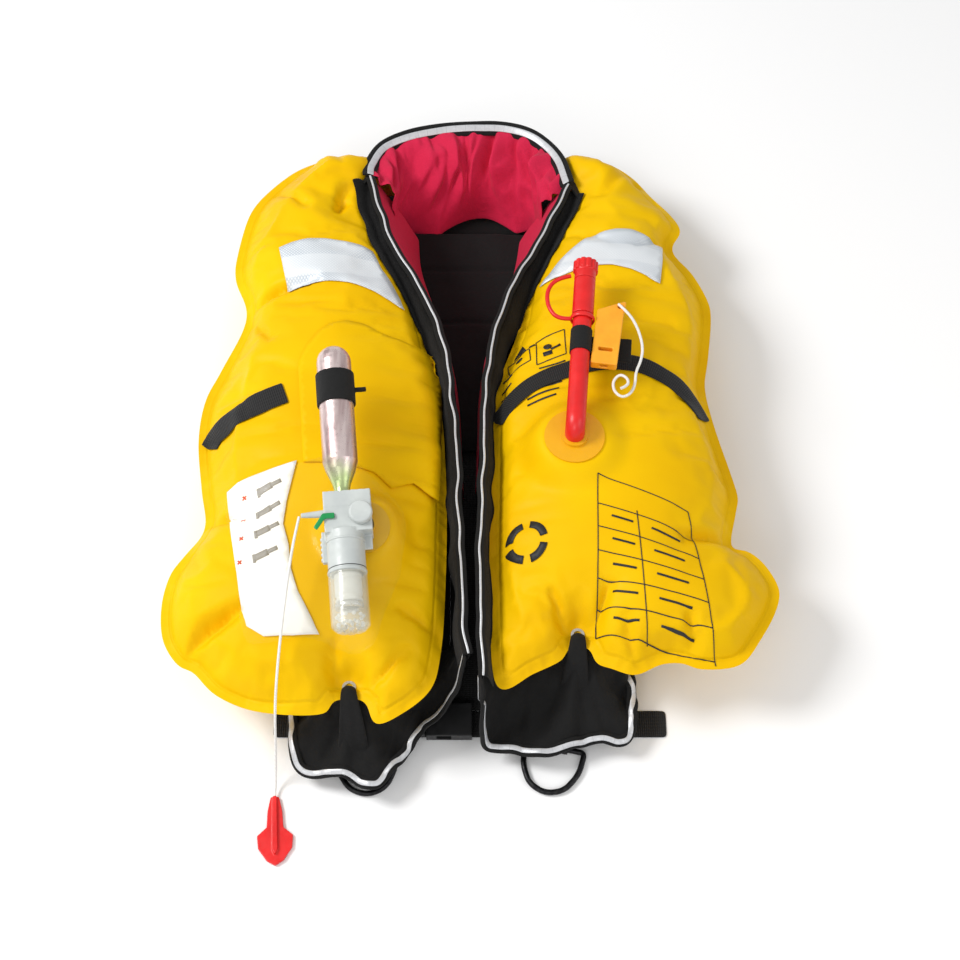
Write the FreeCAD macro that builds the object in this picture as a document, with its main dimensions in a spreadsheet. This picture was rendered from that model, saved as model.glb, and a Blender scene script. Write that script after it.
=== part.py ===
"""Inflatable life jacket, inflated and laid flat on its back.

Millimetres, +Z up, origin under the middle of the outline on the surface it lies on.
+Y points to the collar, +X to the side that carries the oral tube.
"""
import FreeCAD
import Part
import math
import os
import re

from FreeCAD import Placement, Rotation, Vector

doc = FreeCAD.newDocument("LifeJacket")

# ---------------------------------------------------------------- driving dimensions
DIMENSIONS = {
    "seam_level": 79.0,          # height of the weld seam round the bladder
    "shell_bottom": 3.0,
    "fabric": 2.5,               # one layer of cover cloth with its padding
    "skin_gap": 0.5,             # between the bladder and what lies on it
    "webbing": 2.2,
    "belt_width": 28.0,
    "strap_width": 40.0,
    "strap_webbing": 25.0,
    "piping_radius": 1.6,
    "cylinder_radius": 16.5,
    "cylinder_length": 152.0,
    "neck_radius": 7.5,
    "running_fit": 0.05,
    "body_radius": 17.5,
    "body_length": 78.0,
    "block_height": 29.0,
    "cap_radius": 18.0,
    "cap_length": 53.0,
    "cap_wall": 1.6,
    "stud_radius": 5.0,
    "nut_radius": 11.0,
    "pivot_radius": 1.5,
    "lever_reach": 26.5,
    "cord_radius": 1.25,
    "tube_radius": 9.5,
    "tube_bore": 6.5,
    "tube_length": 144.0,
    "sleeve_radius": 10.7,
    "crown_radius": 12.6,
    "ring_wire": 2.75,
    "ring_bar": 57.0,
    "ring_reach": 46.0,
    "eyelet_radius": 6.5,
}
sheet = doc.addObject("Spreadsheet::Sheet", "Dimensions")
for row, (alias, number) in enumerate(DIMENSIONS.items(), start=1):
    sheet.set(f"A{row}", alias)
    sheet.set(f"B{row}", str(number))
    sheet.setAlias(f"B{row}", alias)
doc.recompute()
size = {alias: float(sheet.get(alias)) for alias in DIMENSIONS}

UP = Vector(0, 0, 1)
UPRIGHT = Rotation()
ALONG_Y = Rotation(Vector(1, 0, 0), -90)
ALONG_X = Rotation(Vector(0, 1, 0), 90)
HERE = Placement()

SEAM = size["seam_level"]
FLOOR = size["shell_bottom"]
CLOTH = size["fabric"]
GAP = size["skin_gap"]
RUN = size["running_fit"]


# ---------------------------------------------------------------- helpers
def bound(formula):
    """A formula in the sheet's aliases, as an expression of the document."""
    return re.sub(r"[a-z]\w*", lambda word: "Dimensions." + word.group(), formula)


def at(x, y, z, turn=UPRIGHT):
    return Placement(Vector(x, y, z), turn)


def primitive(kind, label, placement, **formulas):
    """A Part primitive whose sizes are bound to the sheet."""
    piece = doc.addObject("Part::" + kind, label)
    piece.Label = label
    for name, formula in formulas.items():
        piece.setExpression(name, bound(formula))
    piece.Placement = placement
    return piece


def rod(label, placement, radius, length):
    return primitive("Cylinder", label, placement, Radius=radius, Height=length)


def block(label, placement, length, width, height):
    return primitive("Box", label, placement, Length=length, Width=width, Height=height)


def joined(label, *pieces):
    """One solid from several that meet."""
    whole = doc.addObject("Part::MultiFuse", label)
    whole.Label = label
    whole.Shapes = list(pieces)
    whole.Refine = True
    return whole


def carved(label, blank, *tools):
    """A blank with material taken away."""
    tool = tools[0]
    if len(tools) > 1:
        tool = joined(label + "_cutters", *tools)
    piece = doc.addObject("Part::Cut", label)
    piece.Label = label
    piece.Base = blank
    piece.Tool = tool
    piece.Refine = True
    return piece


def shaped(label, shape, placement=HERE):
    """A piece whose shape is worked out here."""
    piece = doc.addObject("Part::Feature", label)
    piece.Label = label
    piece.Shape = shape
    piece.Placement = placement
    return piece


def curve(points):
    """A smooth edge through a few points."""
    line = Part.BSplineCurve()
    line.interpolate([Vector(*point) for point in points])
    return line.toShape()


def polygon(points):
    return Part.Face(Part.makePolygon([Vector(*point) for point in points + points[:1]]))


def slab(outline, bottom, thickness, corner=0.0):
    """A flat piece: an outline in X and Y, raised, with its upright edges rounded."""
    solid = polygon([(x, y, bottom) for x, y in outline]).extrude(UP * thickness)
    if corner:
        upright = [edge for edge in solid.Edges if abs(edge.tangentAt(edge.FirstParameter).z) > 0.9]
        solid = solid.makeFillet(corner, upright)
    return solid


def shifted(points, distance):
    """The points of a path moved sideways, to its left for a positive distance."""
    moved = []
    for index, (x, y) in enumerate(points):
        before = points[max(index - 1, 0)]
        after = points[min(index + 1, len(points) - 1)]
        run = Vector(after[0] - before[0], after[1] - before[1], 0).normalize()
        moved.append((x - run.y * distance, y + run.x * distance))
    return moved


def ribbon(path, offset, thickness, bottom, top, low_y=-1000, high_y=1000):
    """An upright band of cloth that follows a path seen from above, between two values of Y."""
    near = [(x, y, bottom) for x, y in shifted(path, offset)]
    far = [(x, y, bottom) for x, y in shifted(path, offset + thickness)]
    ends = [Part.LineSegment(Vector(*near[i]), Vector(*far[i])).toShape() for i in (0, -1)]
    outline = Part.Wire(Part.__sortEdges__([curve(near), curve(far)] + ends))
    stretch = Part.makeBox(2000, high_y - low_y, 2000, Vector(-1000, low_y, -1000))
    return Part.Face(outline).extrude(UP * (top - bottom)).common(stretch)


def rounded_path(points, share=0.45):
    """Straight runs joined by tangent arcs, each as large as its two runs allow."""
    points = [Vector(*point) for point in points]
    edges = []
    radii = []
    start = points[0]
    for before, corner, after in zip(points, points[1:], points[2:]):
        back = (before - corner).normalize()
        ahead = (after - corner).normalize()
        reach = share * min((before - corner).Length, (after - corner).Length)
        half_turn = (math.pi - back.getAngle(ahead)) / 2
        radii.append(reach / math.tan(half_turn))
        bisector = (back + ahead).normalize()
        middle = corner + bisector * (radii[-1] / math.cos(half_turn) - radii[-1])
        enter = corner + back * reach
        leave = corner + ahead * reach
        edges.append(Part.LineSegment(start, enter).toShape())
        edges.append(Part.Arc(enter, middle, leave).toShape())
        start = leave
    edges.append(Part.LineSegment(start, points[-1]).toShape())
    return Part.Wire(edges), radii


def round_section(path, radius):
    """A circle across the start of a path."""
    first = path.OrderedEdges[0]
    start = path.OrderedVertexes[0].Point
    return Part.Wire(Part.makeCircle(radius, start, first.tangentAt(first.FirstParameter)))


def cord(label, points, radius, placement=HERE):
    """A round cord or piping laid along a route; its volume and radii are printed."""
    path, radii = rounded_path(points)
    solid = path.makePipeShell([round_section(path, radius)], True, False)
    expected = math.pi * radius ** 2 * path.Length
    print(f"{label}: length {path.Length:.0f}, volume {solid.Volume / expected:.3f} of section x length,",
          "radii", " ".join(f"{value:.0f}" for value in radii))
    return shaped(label, solid, placement)


def plate_body(label, outline, thickness, placement=HERE, corner=0.0):
    """A flat piece made as a sketch and a pad, with rounded corners where they are given."""
    body = doc.addObject("PartDesign::Body", label)
    body.Label = label
    sketch = body.newObject("Sketcher::SketchObject", label + "_outline")
    plane = next(item for item in body.Origin.OriginFeatures if item.Role == "XY_Plane")
    sketch.AttachmentSupport = (plane, [""])
    sketch.MapMode = "FlatFace"
    loop = Part.makePolygon([Vector(x, y, 0) for x, y in outline + outline[:1]])
    edges = Part.Face(loop).OuterWire.OrderedEdges
    for edge in edges:
        start, end = (vertex.Point for vertex in edge.Vertexes)
        if edge.Orientation == "Reversed":
            start, end = end, start
        sketch.addGeometry(Part.LineSegment(start, end))
    pad = body.newObject("PartDesign::Pad", label + "_pad")
    pad.Profile = sketch
    pad.setExpression("Length", bound(thickness))
    doc.recompute()
    if corner:
        fillet = body.newObject("PartDesign::Fillet", label + "_corners")
        upright = [f"Edge{number}" for number, edge in enumerate(pad.Shape.Edges, start=1)
                   if abs(edge.tangentAt(edge.FirstParameter).z) > 0.9]
        fillet.Base = (pad, upright)
        fillet.Radius = corner
    body.Placement = placement
    return body


def turned_body(label, profile, placement=HERE):
    """A turned piece: half a section (radius, distance along the axis) revolved about Y."""
    body = doc.addObject("PartDesign::Body", label)
    body.Label = label
    sketch = body.newObject("Sketcher::SketchObject", label + "_section")
    plane = next(item for item in body.Origin.OriginFeatures if item.Role == "XY_Plane")
    sketch.AttachmentSupport = (plane, [""])
    sketch.MapMode = "FlatFace"
    corners = [Vector(radius, along, 0) for radius, along in profile]
    for start, end in zip(corners, corners[1:] + corners[:1]):
        sketch.addGeometry(Part.LineSegment(start, end))
    turn = body.newObject("PartDesign::Revolution", label + "_turned")
    turn.Profile = sketch
    turn.ReferenceAxis = (sketch, ["V_Axis"])
    turn.Angle = 360
    doc.recompute()
    body.Placement = placement
    return body


# ---------------------------------------------------------------- the bladder
# Stations along the horseshoe: x, y, height of the middle, heading, half width, half height.
LEFT_LOBE = [
    (-150, -284, SEAM, 90, 88, 7),
    (-158, -256, SEAM, 90, 126, 44),
    (-160, -205, SEAM, 90, 135, 66),
    (-141, -122, SEAM, 90, 117, 70),
    (-149, -23, SEAM, 90, 123, 71),
    (-145, 60, SEAM, 90, 109, 69),
    (-141, 124, SEAM, 90, 91, 65),
    (-161, 204, SEAM, 90, 85, 60),
]
NECK = [
    (-158, 263, 72, 70, 60, 52),
    (-112, 312, 58, 35, 36, 44),
    (-50, 331, 48, 8, 31, 41),
    (0, 334, 46, 0, 31, 40),
    (50, 331, 48, -8, 31, 41),
    (108, 312, 58, -35, 36, 44),
    (150, 263, 72, -70, 58, 52),
]
RIGHT_LOBE = [
    (145, 205, SEAM, -90, 73, 60),
    (152, 147, SEAM, -90, 95, 66),
    (141, 73, SEAM, -90, 103, 68),
    (134, -5, SEAM, -90, 111, 70),
    (141, -81, SEAM, -90, 121, 71),
    (137, -142, SEAM, -90, 117, 69),
    (157, -195, SEAM, -90, 138, 65),
    (148, -245, SEAM, -90, 125, 42),
    (128, -275, SEAM, -90, 90, 7),
]
EYELETS = [(-113, -291), (102, -237)]


def ring_point(station, angle, outwards=0.0):
    """A point of a station's oval; 0 is the outer side of the horseshoe, 90 degrees the top."""
    x, y, height, heading, half_width, half_height = station
    heading = math.radians(heading)
    across = (half_width + outwards) * math.cos(angle)
    return Vector(x - math.sin(heading) * across, y + math.cos(heading) * across,
                  height + (half_height + outwards) * math.sin(angle))


def oval(station):
    ring = Part.BSplineCurve()
    ring.interpolate([ring_point(station, math.radians(angle)) for angle in range(0, 360, 30)],
                     PeriodicFlag=True)
    return Part.Wire(ring.toShape())


def crescent(station, start, end, gap, thickness):
    """The section of a skin that lies on the bladder between two angles."""
    angles = [start + (end - start) * step / 6 for step in range(7)]
    inner = [ring_point(station, angle, gap) for angle in angles]
    outer = [ring_point(station, angle, gap + thickness) for angle in angles]
    ends = [Part.LineSegment(inner[i], outer[i]).toShape() for i in (0, -1)]
    return Part.Wire([curve(inner), ends[1], curve(outer[::-1]), ends[0]])


def station_at(lobe, y):
    """The oval of a lobe at any Y, between its stations."""
    rows = sorted(lobe, key=lambda station: station[1])
    for low, high in zip(rows, rows[1:]):
        if low[1] <= y <= high[1]:
            part = (y - low[1]) / (high[1] - low[1])
            return tuple(a + (b - a) * part for a, b in zip(low, high))
    raise ValueError(f"no station at {y}")


SKIN_STEP = 14.0


def skin(label, lobe, rows, thickness, gap=GAP):
    """A soft piece that lies on a lobe; each row gives a Y and the X of its two edges."""
    wanted = sorted(rows)
    levels = {row[0]: row for row in wanted}
    between = [station[1] for station in lobe]
    between += [wanted[0][0] + SKIN_STEP * step for step in range(1, 40)]
    for y in between:
        for low, high in zip(wanted, wanted[1:]):
            if low[0] + 2 < y < high[0] - 2:
                part = (y - low[0]) / (high[0] - low[0])
                levels[y] = tuple(a + (b - a) * part for a, b in zip(low, high))
    sections = []
    for y in sorted(levels):
        station = station_at(lobe, y)
        side = -1 if station[3] > 0 else 1
        reach = station[4] + gap
        angles = sorted(math.acos(max(-0.99, min(0.99, side * (x - station[0]) / reach)))
                        for x in levels[y][1:])
        sections.append(crescent(station, angles[0], angles[1], gap, thickness))
    return shaped(label, Part.makeLoft(sections, True, True))


def lobe_top(lobe, x, y, gap):
    """Height of a surface that lies a gap above a lobe."""
    middle_x, _, level, _, half_width, half_height = station_at(lobe, y)
    across = min(0.995, abs(x - middle_x) / (half_width + gap))
    return level + (half_height + gap) * math.sqrt(1 - across ** 2)


def band(label, lobe, route, width, thickness, gap=2.5):
    """A strap across a lobe along a smooth route seen from above."""
    line = Part.BSplineCurve()
    line.interpolate([Vector(x, y, 0) for x, y in route])
    sections = []
    for step in range(17):
        spot = line.FirstParameter + (line.LastParameter - line.FirstParameter) * step / 16
        middle, run = line.value(spot), line.tangent(spot)[0]
        side = Vector(-run.y, run.x, 0) * (width / 2)
        low = []
        for edge in (middle + side, middle - side):
            low.append(Vector(edge.x, edge.y, lobe_top(lobe, edge.x, edge.y, gap)))
        high = [corner + UP * thickness for corner in low[::-1]]
        sections.append(Part.makePolygon(low + high + low[:1]))
    return shaped(label, Part.makeLoft(sections, True, True))


def bladder():
    """The welded air bladder, pinched flat round its two eyelets."""
    stations = LEFT_LOBE + NECK + RIGHT_LOBE
    air = Part.makeLoft([oval(station) for station in stations], True, True)
    for x, y in EYELETS:
        air = air.cut(Part.makeCylinder(17, 200, Vector(x, y, -20)))
    for x, y in EYELETS:
        tab = Part.makeCylinder(20, 1.6, Vector(x, y, SEAM - 0.8))
        air = air.fuse(tab)
        air = air.cut(Part.makeCylinder(size["eyelet_radius"] - 1.5, 20, Vector(x, y, SEAM - 10)))
    return shaped("bladder", air)


def eyelets():
    """Two pressed metal eyelets, one in each pinched tab."""
    rings = []
    for x, y in EYELETS:
        outer = size["eyelet_radius"]
        barrel = Part.makeCylinder(outer - 1.6, 4.4, Vector(x, y, SEAM - 2.2))
        upper = Part.makeCylinder(outer, 1.2, Vector(x, y, SEAM + 1.0))
        lower = Part.makeCylinder(outer, 1.2, Vector(x, y, SEAM - 2.2))
        hole = Part.makeCylinder(outer - 2.6, 10, Vector(x, y, SEAM - 5))
        rings.append(barrel.fuse([upper, lower]).cut(hole))
    return shaped("eyelets", Part.makeCompound(rings))


def cover_tabs():
    """Two cloth tabs of the cover that are pulled up through the eyelets."""
    tabs = []
    for x, y in EYELETS:
        throat = size["eyelet_radius"] - 2.8
        stem = Part.makeCylinder(throat, 8, Vector(x, y, SEAM - 4))
        head = Part.makeCone(throat + 2.5, 2.5, 12, Vector(x, y, SEAM + 2.6))
        tabs.append(stem.fuse(head))
    return shaped("cover_tabs", Part.makeCompound(tabs))


# ---------------------------------------------------------------- the cloth cover
LEFT_EDGE = [(-81, 266), (-74, 222), (-50, 164), (-31, 114), (-20, 65), (-15, 6), (-12, -52),
             (-11, -107), (-9, -173), (-7, -232)]
RIGHT_EDGE = [(76, 264), (68, 222), (46, 164), (27, 114), (16, 65), (13, 6), (10, -52),
              (9, -107), (9, -173), (8, -232)]
EDGE_BOTTOM = 8.0
EDGE_TOP = 100.0


def tail(label, profile, hem):
    """A flared tail: a folded sheet held up at its eyelet, trimmed to its hem."""
    top = [Vector(-250, y, height) for y, height in profile]
    bottom = [Vector(-250, y, height - CLOTH) for y, height in profile[::-1]]
    sheet_wire = Part.makePolygon(top + bottom + top[:1])
    folded = Part.Face(sheet_wire).extrude(Vector(500, 0, 0))
    return shaped(label, folded.common(slab(hem, -10, 150)))


def cover():
    """The cover opened flat under the bladder, with its upright front edges and flared tails."""
    outline = [(-150, -272), (-20, -272), (-20, 60), (-62, 190), (-70, 285), (70, 285), (62, 190),
               (20, 60), (20, -272), (150, -272), (190, -180), (190, 150), (160, 290), (110, 345),
               (-110, 345), (-160, 290), (-190, 150), (-190, -180)]
    shell = plate_body("cover_shell", outline, "fabric", at(0, 0, FLOOR), corner=12)
    left = shaped("cover_edge_left", ribbon(LEFT_EDGE, -CLOTH / 2, CLOTH, EDGE_BOTTOM, EDGE_TOP))
    right = shaped("cover_edge_right", ribbon(RIGHT_EDGE, -CLOTH / 2, CLOTH, EDGE_BOTTOM, EDGE_TOP))
    hem_left = [(-8, -240), (-14, -267), (-48, -309), (-84, -354), (-110, -354), (-158, -350),
                (-169, -332), (-169, -240)]
    tail_left = tail("cover_tail_left", [(-354, 24), (-298, 66), (-286, 60), (-246, 20)], hem_left)
    hem_right = [(10, -212), (10, -308), (60, -306), (112, -312), (145, -320), (154, -312), (154, -212)]
    tail_right = tail("cover_tail_right", [(-320, 18), (-285, 56), (-262, 45), (-214, 14)], hem_right)
    return [shell, left, right, tail_left, tail_right]


def closure_strips():
    """Hook tape on one front edge and loop tape on the other, facing each other."""
    hook = ribbon(LEFT_EDGE, CLOTH / 2 + 0.2, 1.6, 62, 97, high_y=62)
    loop = ribbon(RIGHT_EDGE, -CLOTH / 2 - 1.8, 1.6, 62, 97, high_y=62)
    return [shaped("hook_strip", hook), shaped("loop_strip", loop)]


def edge_linings():
    """Crimson lining on the neck side of the two front edges."""
    left = ribbon(LEFT_EDGE, CLOTH / 2 + 0.2, 1.2, 30, 97, low_y=63)
    right = ribbon(RIGHT_EDGE, -CLOTH / 2 - 1.4, 1.2, 30, 97, low_y=63)
    return [shaped("edge_lining_left", left), shaped("edge_lining_right", right)]


def pipings():
    """Silver reflective piping along both front edges and round the collar rim."""
    radius = size["piping_radius"]
    top = EDGE_TOP + radius + 0.1
    left = [(x, y, top) for x, y in LEFT_EDGE[::2] + LEFT_EDGE[-1:]]
    right = [(x, y, top) for x, y in RIGHT_EDGE[::2] + RIGHT_EDGE[-1:]]
    rim = [(-93, 318, 104), (-78, 350, 98), (-42, 366, 94), (0, 368, 92), (42, 366, 94),
           (78, 350, 98), (93, 318, 104)]
    return [cord("piping_left", left, radius), cord("piping_right", right, radius),
            cord("piping_collar", rim, radius)]


def collar():
    """The black outside of the collar and its crimson inside, round the neck tube."""
    ends, crown = (120, 350), (0, 370)
    outer = Part.Arc(Vector(-ends[0], ends[1], FLOOR + CLOTH), Vector(*crown, FLOOR + CLOTH),
                     Vector(*ends, FLOOR + CLOTH)).toShape()
    inner = outer.copy()
    inner.translate(Vector(0, -CLOTH, 0))
    caps = [Part.LineSegment(outer.Vertexes[i].Point, inner.Vertexes[i].Point).toShape() for i in (0, 1)]
    wall = Part.Face(Part.Wire(Part.__sortEdges__([outer, inner] + caps))).extrude(UP * 84)
    shell = shaped("collar_shell", wall)
    around = NECK[1:6]
    folds = [crescent(station, math.radians(80), math.radians(222), GAP, 2.0) for station in around]
    lining = shaped("collar_lining", Part.makeLoft(folds, True, True))
    return [shell, lining]


BELT_TOP = -281.0
BELT_MIDDLE = BELT_TOP - size["belt_width"] / 2
BUCKLE_LEVEL = 2.4


def harness():
    """Back panel, back strap and waist belt under the cover, with the belt's hardware."""
    yoke = plate_body("back_panel",
                      [(-120, 340), (120, 340), (120, 250), (62, 120), (45, 40), (-45, 40), (-62, 120),
                       (-120, 250)], "shell_bottom - 0.2", corner=15)
    half = size["strap_width"] / 2
    low = BELT_TOP + 0.5
    strap = plate_body("back_strap", [(-half, 39.5), (half, 39.5), (half, low), (-half, low)], "webbing")
    upper, lower = BELT_TOP, BELT_TOP - size["belt_width"]
    belt = plate_body("waist_belt", [(-190, upper), (190, upper), (190, lower), (-190, lower)], "webbing")
    return [yoke, strap, belt]


def buckle():
    """A side-release buckle under the left tail: a hollow female half and a two-prong male half."""
    x, y = -20, BELT_MIDDLE
    shell = block("buckle_shell", at(x - 22, y - 17, BUCKLE_LEVEL), "22 + 22", "17 + 17", "11")
    hollow = block("buckle_hollow", at(x - 23, y - 13, BUCKLE_LEVEL + 1.8), "38", "26", "7.4")
    windows = [block(f"buckle_window_{side}", at(x - 12, y + side * 15 - 3, BUCKLE_LEVEL + 1.8),
                     "14", "6", "7.4") for side in (-1, 1)]
    female = carved("buckle_female", shell, hollow, *windows)
    plug_level = BUCKLE_LEVEL + 2.1
    bridge = block("buckle_bridge", at(x - 36, y - 15, plug_level), "13", "30", "6.8")
    guide = block("buckle_guide", at(x - 23.5, y - 2, plug_level), "32", "4", "6.8")
    prongs = [block(f"buckle_prong_{side}", at(x - 23.5, y + side * 9.5 - 1.6, plug_level),
                    "25", "3.2", "6.8") for side in (-1, 1)]
    slot = block("buckle_slot", at(x - 32, y - 12, plug_level - 1), "4", "24", "9")
    male = carved("buckle_male", joined("buckle_plug", bridge, guide, *prongs), slot)
    return [female, male]


def belt_adjuster():
    """A three-bar slider that shortens the belt."""
    x, y, width, length = 120, BELT_MIDDLE, 36, 24
    frame = block("adjuster_frame", at(x - length / 2, y - width / 2, BUCKLE_LEVEL), "24", "36", "3.4")
    slots = [block(f"adjuster_slot_{side}", at(x + side * 6.2 - 3, y - 15.5, BUCKLE_LEVEL - 1),
                   "6", "31", "6") for side in (-1, 1)]
    return carved("belt_adjuster", frame, *slots)


# D-rings: middle of the bar, and the turn of the ring about Z.
RINGS = {"left": (-100, -320, 4.0), "right": (82, -319.5, -13.0)}
RING_LEVEL = size["ring_wire"] + 0.4


def d_ring(side):
    """A welded D-ring: a straight bar in the tab and a round bow towards the feet."""
    x, y, turn = RINGS[side]
    half, reach, wire = size["ring_bar"] / 2, size["ring_reach"], size["ring_wire"]
    corner = 9.0
    route = [(-half + corner, 0, 0), (-half, 0, 0), (-half * 0.97, -reach * 0.48, 0),
             (-half * 0.6, -reach * 0.9, 0), (0, -reach * 1.04, 0), (half * 0.6, -reach * 0.9, 0),
             (half * 0.97, -reach * 0.48, 0), (half, 0, 0), (half - corner, 0, 0)]
    path, _ = rounded_path(route)
    bow = path.makePipeShell([round_section(path, wire)], True, False)
    bar = Part.makeCylinder(wire, 2 * (half - corner), Vector(-half + corner, 0, 0), Vector(1, 0, 0))
    return shaped(f"d_ring_{side}", bow.fuse(bar).removeSplitter(), at(x, y, RING_LEVEL, Rotation(UP, turn)))


def ring_tab(side):
    """A loop of webbing round the bar of a D-ring, sewn to the belt."""
    x, y, turn = RINGS[side]
    outer = size["ring_wire"] + 2.2
    loop = rod(f"ring_tab_{side}_loop", at(-12.5, 0, 0, ALONG_X), "ring_wire + 2.2", "25")
    tongue = block(f"ring_tab_{side}_tongue", at(-12.5, 0, outer - 2.2), "25", "22", "2.2")
    bore = rod(f"ring_tab_{side}_bore", at(-13.5, 0, 0, ALONG_X), "ring_wire + running_fit", "27")
    flat = block(f"ring_tab_{side}_flat", at(-14, -10, -outer - 3), "28", "20",
                 f"{outer + 3 - RING_LEVEL + 0.1} + 0")
    tab = carved(f"ring_tab_{side}", joined(f"ring_tab_{side}_blank", loop, tongue), bore, flat)
    tab.Placement = at(x, y, RING_LEVEL, Rotation(UP, turn))
    return tab


# ---------------------------------------------------------------- soft pieces on the lobes
STRAP_LEFT = [(-251, -27), (-230, -20), (-205, -12), (-181, -4)]
STRAP_RIGHT = [(30, -4), (54, 14), (88, 26), (128, 33), (167, 31), (197, 20), (219, 6), (230, -5)]


def soft_pieces():
    """Straps, panel, pouch, card and reflective patches that lie on the lobes."""
    left, right = LEFT_LOBE, RIGHT_LOBE
    return [
        skin("reflective_patch_left", left, [(122, -183, -74), (186, -197, -103)], 0.6),
        skin("reflective_patch_right", right, [(142, 80, 193), (200, 122, 200)], 0.6),
        band("retainer_strap_left", left, STRAP_LEFT, size["strap_webbing"], 1.6),
        band("retainer_strap_right", right, STRAP_RIGHT, size["strap_webbing"] * 0.8, 1.6, gap=3.6),
        skin("instruction_card", left,
             [(-262, -205, -164), (-205, -218, -172), (-140, -226, -168), (-94, -229, -165)], 0.6),
        skin("clear_pouch", left,
             [(-264, -160, -92), (-205, -166, -70), (-140, -160, -68), (-96, -158, -90)], 0.8),
        skin("inflator_panel", left,
             [(-86, -160, -34), (-20, -165, -33), (44, -164, -40), (78, -150, -76)], 1.2),
    ]


# ---------------------------------------------------------------- the inflator
# Its own frame: +Y along the gas cylinder, origin where the cylinder's neck meets the head.
INFLATOR = at(-118.5, -141.0, 180.0, Rotation(4.9, 0, 8))
STUD = (16.0, -24.0)
PIVOT = (-13.0, -17.0)
LEVEL = INFLATOR * at(*PIVOT, 0)
LEVEL.Rotation = Rotation(UP, 4.9)


def co2_cylinder():
    """The gas cylinder: threaded neck, shoulder, body and domed end."""
    radius, neck, length = size["cylinder_radius"], size["neck_radius"], size["cylinder_length"]
    dome = [(radius * math.sin(math.radians(angle)), length - radius + radius * math.cos(math.radians(angle)))
            for angle in (75, 60, 45, 30, 15)]
    profile = [(0, -12.5), (neck - 0.8, -12.5), (neck, -11.7), (neck, 6), (neck + 1.5, 12),
               (radius - 2.5, 24), (radius, 33), (radius, length - radius)] + dome + [(0, length)]
    return turned_body("co2_cylinder", profile, INFLATOR)


def cylinder_band():
    """The elastic loop that holds the gas cylinder, with its sewn tag."""
    middle = 91
    band = rod("band_outside", at(0, middle, 0, ALONG_Y), "cylinder_radius + 1.9", "32")
    tag = block("band_tag", at(15, middle + 13, -2), "14", "3", "6")
    bore = rod("band_bore", at(0, middle - 1, 0, ALONG_Y), "cylinder_radius + running_fit", "34")
    loop = carved("cylinder_band", joined("band_blank", band, tag), bore)
    loop.Placement = INFLATOR
    return loop


def inflator_body():
    """The moulded head: screw block, bobbin housing, lever slot, stud bore and side grip."""
    head = block("head_block", at(-18, -15, -15), "44", "15", "block_height")
    chest = block("head_chest", at(-18, -40, -14), "44", "26", "block_height - 1.5")
    housing = rod("head_housing", at(0, -78, 0, ALONG_Y), "body_radius", "body_length - 37")
    fin = block("head_fin", at(8, -54, -4), "17", "16", "3")
    grip = block("head_grip", at(-22, -62, -14), "10", "30", "6.5")
    ribs = [block(f"head_rib_{number}", at(-23.4, -60 + 5 * number, -13), "3", "2.4", "5")
            for number in range(5)]
    blank = joined("head_blank", head, chest, housing, fin, grip, *ribs)
    neck_bore = rod("head_neck_bore", at(0, -13, 0, ALONG_Y), "neck_radius + running_fit", "14")
    pin_bore = rod("head_pin_bore", at(0, -56, 0, ALONG_Y), "2.6", "44")
    chamber = rod("head_chamber", at(0, -79, 0, ALONG_Y), "body_radius - 2.5", "35")
    stud_bore = rod("head_stud_bore", at(*STUD, -16), "stud_radius + running_fit", "40")
    slot = block("head_slot", at(-25, -37, -5.8), "17", "29", "11.6")
    pin_hole = rod("head_pivot_bore", at(*PIVOT, -10.5), "pivot_radius + 1.4", "21")
    gas_way = rod("head_gas_way", at(0, -24, 0, ALONG_X), "1.5", "14")
    body = carved("inflator_body", blank, neck_bore, pin_bore, chamber, stud_bore, slot, pin_hole, gas_way)
    body.Placement = INFLATOR
    return body


def manifold():
    """The welded manifold: a disc on the bladder, a boss and the hollow stud through the head."""
    disc = rod("manifold_disc", at(0, 0, -23.6), "26", "1.4")
    boss = rod("manifold_boss", at(0, 0, -22.4), "12", "5")
    stud = rod("manifold_stud", at(0, 0, -18), "stud_radius", "38")
    passage = rod("manifold_passage", at(0, 0, -24), "2.2", "25")
    cross = rod("manifold_cross", at(-8, 0, 0, ALONG_X), "1.5", "8")
    piece = carved("manifold", joined("manifold_blank", disc, boss, stud), passage, cross)
    piece.Placement = INFLATOR * at(*STUD, 0)
    return piece


def seal_ring():
    """The rubber washer between the manifold and the head."""
    washer = rod("seal_outside", at(0, 0, -17.3), "11", "2.2")
    bore = rod("seal_bore", at(0, 0, -18), "stud_radius + running_fit", "4")
    piece = carved("seal_ring", washer, bore)
    piece.Placement = INFLATOR * at(*STUD, 0)
    return piece


def cap_nut():
    """The round nut that clamps the head on the stud."""
    disc = rod("nut_disc", at(0, 0, 14.2), "nut_radius", "5")
    crown = primitive("Cone", "nut_crown", at(0, 0, 19.2), Radius1="nut_radius", Radius2="nut_radius - 1.2",
                      Height="1.6")
    bore = rod("nut_bore", at(0, 0, 13.2), "stud_radius + 0.02", "7")
    piece = carved("cap_nut", joined("nut_blank", disc, crown), bore)
    piece.Placement = INFLATOR * at(*STUD, 0)
    return piece


def firing_lever():
    """The firing lever: a heel on the pivot pin and a tapered arm that holds the cord."""
    heel = rod("lever_heel", at(0, 0, -4), "4.2", "8")
    arm = primitive("Cone", "lever_arm", at(0, 0, 0, Rotation(Vector(0, 1, 0), -90)),
                    Radius1="4.2", Radius2="2.2", Height="lever_reach")
    bore = rod("lever_bore", at(0, 0, -6), "pivot_radius + running_fit", "12")
    piece = carved("firing_lever", joined("lever_blank", heel, arm), bore)
    piece.Placement = LEVEL
    return piece


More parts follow.
